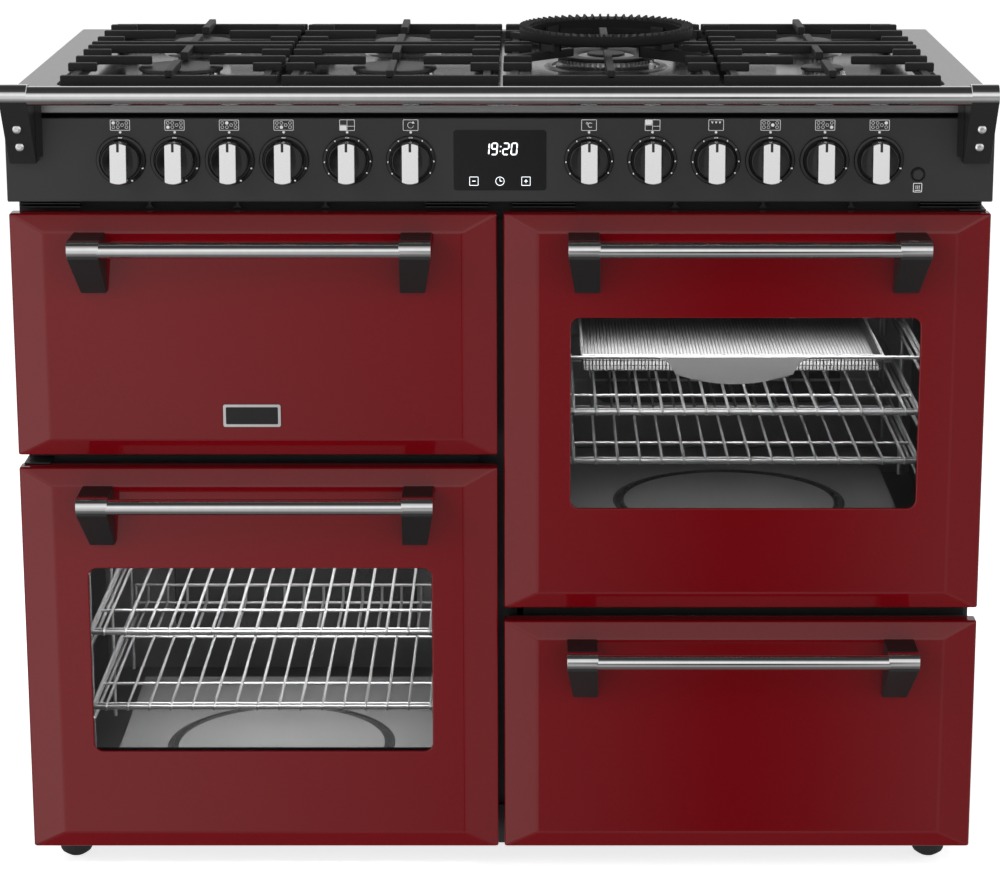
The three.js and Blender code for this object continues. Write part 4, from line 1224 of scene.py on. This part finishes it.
def make_gap_strips():
    """Dark strips in the gaps between the doors: painted shade that fills the gaps."""
    drawer_high = span("drawer_front")[5]
    left_top = span("left_oven_door_panel")[5]
    grill_low = span("grill_door_panel")[4]
    right_low = span("right_oven_door_panel")[4]
    strips = Shape()
    x0, x1 = span("left_oven_door_panel")[:2]
    for low, high, a, b in ((left_top, grill_low, x0 + 10, x1 - 22),
                            (drawer_high, right_low, -x1 + 22, -x0 - 10)):
        for d0, z in ((38, low + 3.4), (40, high - 5.2)):
            strips.box(a, b, d0, 46, z, z + 2.4, 0.5)
        strips.box(a, b, 42, 47, low - 8, high + 8)
    strips.box(-9, 9, 44, 49, 22, 70)
    strips.piece("gap_shade_strips", MAT["black"], "body", "black_trim")


def make_hinges():
    """Hinge brackets with pins for the two side-hinged doors, and arms for the drop-down one."""
    plates = Shape()
    for side in ("left", "right"):
        x, d, _ = joint_place(side + "_oven_door_hinge")
        _, _, _, _, z0, z1 = span(side + "_oven_door_panel")
        out = -1 if side == "left" else 1
        for z, up in ((z0, -1), (z1, 1)):
            a, b = sorted((x - out * 24, x + out * 6))
            c, e = sorted((z + up * 0.4, z + up * 2.2))
            plates.box(a, b, d - 14, 50, c, e, 0.6, 2)
            plates.rod((x, d, z - up * 3), (x, d, z + up * 2.6), 4, 20)
    plates.piece("hinge_brackets", MAT["black"], "body", "black_trim")
    arms = Shape()
    x0, x1, _, _, z0, _ = span("grill_door_inner")
    for x in (x0 + 22, x1 - 36):
        arms.box(x, x + 14, 22, 47, z0 + 8, z0 + 26, 2.5, 2)
    arms.piece("grill_hinge_arms", MAT["zinc"], "grill_door", "galvanised_back")


def make_feet():
    for node in ("foot_front_left", "foot_front_right", "foot_back_left", "foot_back_right"):
        x, d, _ = centre(node)
        x0, x1, _, _, _, z1 = span(node)
        radius = (x1 - x0) / 2
        foot = Shape().lathe([(0, 0), (9.5, 0), (10, 0.8), (13, 2.2), (17, 5.2), (18.6, 8), (radius, 11),
                              (radius, z1 - 14), (8, z1 - 13), (8, z1), (0, z1)], (x, d, 0), "Z", 40)
        for i in range(6):
            t = math.tau * (i + 0.5) / 6
            foot.rod((x + 17 * math.cos(t), d + 17 * math.sin(t), 10),
                     (x + 17 * math.cos(t), d + 17 * math.sin(t), z1 - 15), 2.6, 10)
        foot.piece(node + "_moulding", MAT["rubber"], "body", "foot_black", [node])


def make_back():
    """Louvres with dark strips under them, painted shade in their openings, a gas elbow, a terminal box
    and screws on the rear panel.
    """
    x0, x1, _, back, z0, z1 = span("back_panel")
    # slots: dark strips under the louvres, painted shade where the openings would be.
    louvres, slots = Shape(), Shape()
    for block in (-300, 0, 300):
        for i in range(7):
            z = 600 + i * 22
            louvres.prism([(back - 0.5, z), (back + 4.5, z), (back - 0.5, z + 9)],
                          block - 60, block + 60, "YZ", 0.8, 2)
            slots.box(block - 58, block + 58, back - 1, back + 0.5, z - 5, z - 0.6, 0.4)
    louvres.piece("rear_louvres", MAT["zinc"], "body", "galvanised_back")
    slots.piece("rear_slot_shade", MAT["rubber"], "body", "foot_black")
    terminal = Shape().box(x0 + 120, x0 + 230, back - 1, back + 5, 300, 400, 2.4, 3)
    terminal.box(x0 + 128, x0 + 222, back + 4, back + 6.4, 336, 341, 0.8, 2)
    terminal.piece("terminal_cover", MAT["black"], "body", "black_trim")
    elbow = Shape()
    elbow.lathe([(0, -6), (13, -6), (13, 0), (10, 1.5), (10, 5.4), (0, 5.4)], (x1 - 140, back, 760),
                "Y", 32)
    for vert in elbow.bm.verts:
        vert.co.y = 2 * back - vert.co.y
    bmesh.ops.reverse_faces(elbow.bm, faces=elbow.bm.faces)
    elbow.piece("gas_inlet", MAT["brass"], "body", "knob_chrome")
    screws = Shape()
    for x in (x0 + 14, -180, 180, x1 - 14):
        for z in (z0 + 24, (z0 + z1) / 2, z1 - 30):
            screws.rod((x, back - 1, z), (x, back + 1.8, z), 4, 16, 0.6)
    for x in (x0 + 128, x0 + 222):
        for z in (308, 392):
            screws.rod((x, back + 4, z), (x, back + 6.2, z), 3.4, 16, 0.6)
    screws.piece("rear_screws", MAT["wire"], "body", "galvanised_back")


def make_body():
    for node in ("side_panel_left", "side_panel_right", "chassis"):
        paint(node, MAT["side"])
    paint("back_panel", MAT["zinc"])
    paint("drawer_box", MAT["tub"])
    make_vent_strip()
    make_gap_strips()
    make_hinges()
    make_feet()
    make_back()


# ---------------------------------------------------------------- studio
def area_light(name, place, target, size, power, spread=180):
    data = bpy.data.lights.new(name, "AREA")
    data.shape = "RECTANGLE"
    data.size, data.size_y = size
    data.energy = power
    data.spread = math.radians(spread)
    light = add_object(name, data)
    light.location = place
    light.rotation_euler = (Vector(target) - Vector(place)).to_track_quat("-Z", "Y").to_euler()
    light.visible_glossy = spread < 180


def grey_ramp(tree, value, stops):
    """A grey that follows the stops (value, grey) between the first value and the last."""
    first, last = stops[0][0], stops[-1][0]
    reach = tree.nodes.new("ShaderNodeMapRange")
    set_inputs(reach, From_Min=first, From_Max=last)
    tree.links.new(value, reach.inputs["Value"])
    ramp = tree.nodes.new("ShaderNodeValToRGB")
    ramp.color_ramp.interpolation = "LINEAR"
    elements = ramp.color_ramp.elements
    while len(elements) < len(stops):
        elements.new(0.5)
    for element, (at, grey) in zip(elements, stops):
        element.position = (at - first) / (last - first)
        element.color = (grey, grey, grey, 1)
    tree.links.new(reach.outputs["Result"], ramp.inputs["Fac"])
    return ramp.outputs["Color"]


def calculate(tree, operation, *values):
    node = tree.nodes.new("ShaderNodeMath")
    node.operation = operation
    for socket, value in zip(node.inputs, values):
        if isinstance(value, (int, float)):
            socket.default_value = value
        else:
            tree.links.new(value, socket)
    return node.outputs["Value"]


# The room's brightness by the sine of the elevation: a dim ceiling over a bright horizon.
ROOM = [(-1, 0.10), (-0.85, 0.14), (-0.7, 0.32), (-0.42, 0.46), (-0.2, 0.56), (-0.03, 0.78),
        (0.2, 0.92), (0.42, 0.74), (0.56, 0.42), (0.7, 0.06), (1, 0.035)]
# In front, below the horizon, by the tangent of the bearing: two softboxes with a gap between.
SOFTBOXES = [(-0.6, 1.1), (-0.36, 0.75), (-0.14, 0.62), (-0.07, 0.42), (-0.015, 0.27), (0.02, 0.2),
             (0.07, 0.02), (0.1, 0.08), (0.15, 0.34), (0.4, 0.45), (0.6, 0.3)]


def make_world():
    world = bpy.data.worlds.new("studio")
    world.use_nodes = True
    tree = world.node_tree
    nodes, links = tree.nodes, tree.links
    coords = nodes.new("ShaderNodeTexCoord")
    parts = nodes.new("ShaderNodeSeparateXYZ")
    links.new(coords.outputs["Generated"], parts.inputs["Vector"])
    x, y, z = parts.outputs
    room = grey_ramp(tree, z, ROOM)
    ahead = calculate(tree, "MAXIMUM", calculate(tree, "MULTIPLY", y, -1.0), 0.05)
    boxes = grey_ramp(tree, calculate(tree, "DIVIDE", x, ahead), SOFTBOXES)
    low_band = grey_ramp(tree, z, [(-0.55, 0), (-0.4, 1), (-0.1, 1), (-0.02, 0)])
    in_front = grey_ramp(tree, y, [(-1, 1), (-0.8, 1), (-0.5, 0)])
    share = calculate(tree, "MULTIPLY", low_band, in_front)
    mix = nodes.new("ShaderNodeMix")
    mix.data_type = "RGBA"
    links.new(share, mix.inputs["Factor"])
    links.new(room, mix.inputs[6])
    links.new(boxes, mix.inputs[7])
    light = nodes["Background"]
    links.new(mix.outputs[2], light.inputs["Color"])
    light.inputs["Strength"].default_value = 1.0
    shown = nodes.new("ShaderNodeBackground")
    set_inputs(shown, Color=(1, 1, 1, 1), Strength=1.0)
    path = nodes.new("ShaderNodeLightPath")
    choose = nodes.new("ShaderNodeMixShader")
    links.new(path.outputs["Is Camera Ray"], choose.inputs["Fac"])
    links.new(light.outputs["Background"], choose.inputs[1])
    links.new(shown.outputs["Background"], choose.inputs[2])
    links.new(choose.outputs["Shader"], nodes["World Output"].inputs["Surface"])
    bpy.context.scene.world = world


def make_floor():
    bm = bmesh.new()
    bmesh.ops.create_grid(bm, x_segments=2, y_segments=2, size=14)
    mesh = mesh_of("floor", bm)
    floor = add_object("floor", mesh)
    mesh.materials.append(textured("floor_paint", (0.84, 0.84, 0.84), (0.88, 0.88, 0.88), (0.6, 0.7), 3,
                                   (0.02, 0.001), Emission_Color=(1, 1, 1, 1), Emission_Strength=0.75))
    floor.visible_glossy = False


LAMP_SPREAD = 90  # degrees: the lamps light the floors and shelves more than the back walls


def oven_lamp(node, power, depth):
    """A soft lamp under the roof of an oven, which lights its shelves and floor."""
    x0, x1, d0, _, z0, z1 = cavity_inside(node)
    place = ((x0 + x1) / 2 * MM, FRONT + (d0 + 4) * MM + depth / 2, (z1 - 8) * MM)
    area_light(node + "_lamplight", place, (place[0], place[1] + 0.02, z0 * MM),
               ((x1 - x0) * 0.85 * MM, depth), power, LAMP_SPREAD)


def make_studio():
    make_world()
    make_floor()
    area_light("key", (-2.6, FRONT - 2.6, 2.9), (0, 0, 0.5), (2.0, 2.0), 60)
    area_light("fill", (2.8, FRONT - 2.4, 2.2), (0, 0, 0.5), (1.6, 1.6), 22)
    area_light("top", (0, 0.2, 3.4), (0, 0.1, 0.9), (2.6, 1.6), 45)
    oven_lamp("left_oven_cavity", 2.3, 0.3)
    oven_lamp("right_oven_cavity", 1.2, 0.12)
    bpy.context.scene.view_settings.view_transform = "Standard"


make_doors()
make_panel()
make_rail()
make_hob()
make_ovens()
make_body()
make_studio()
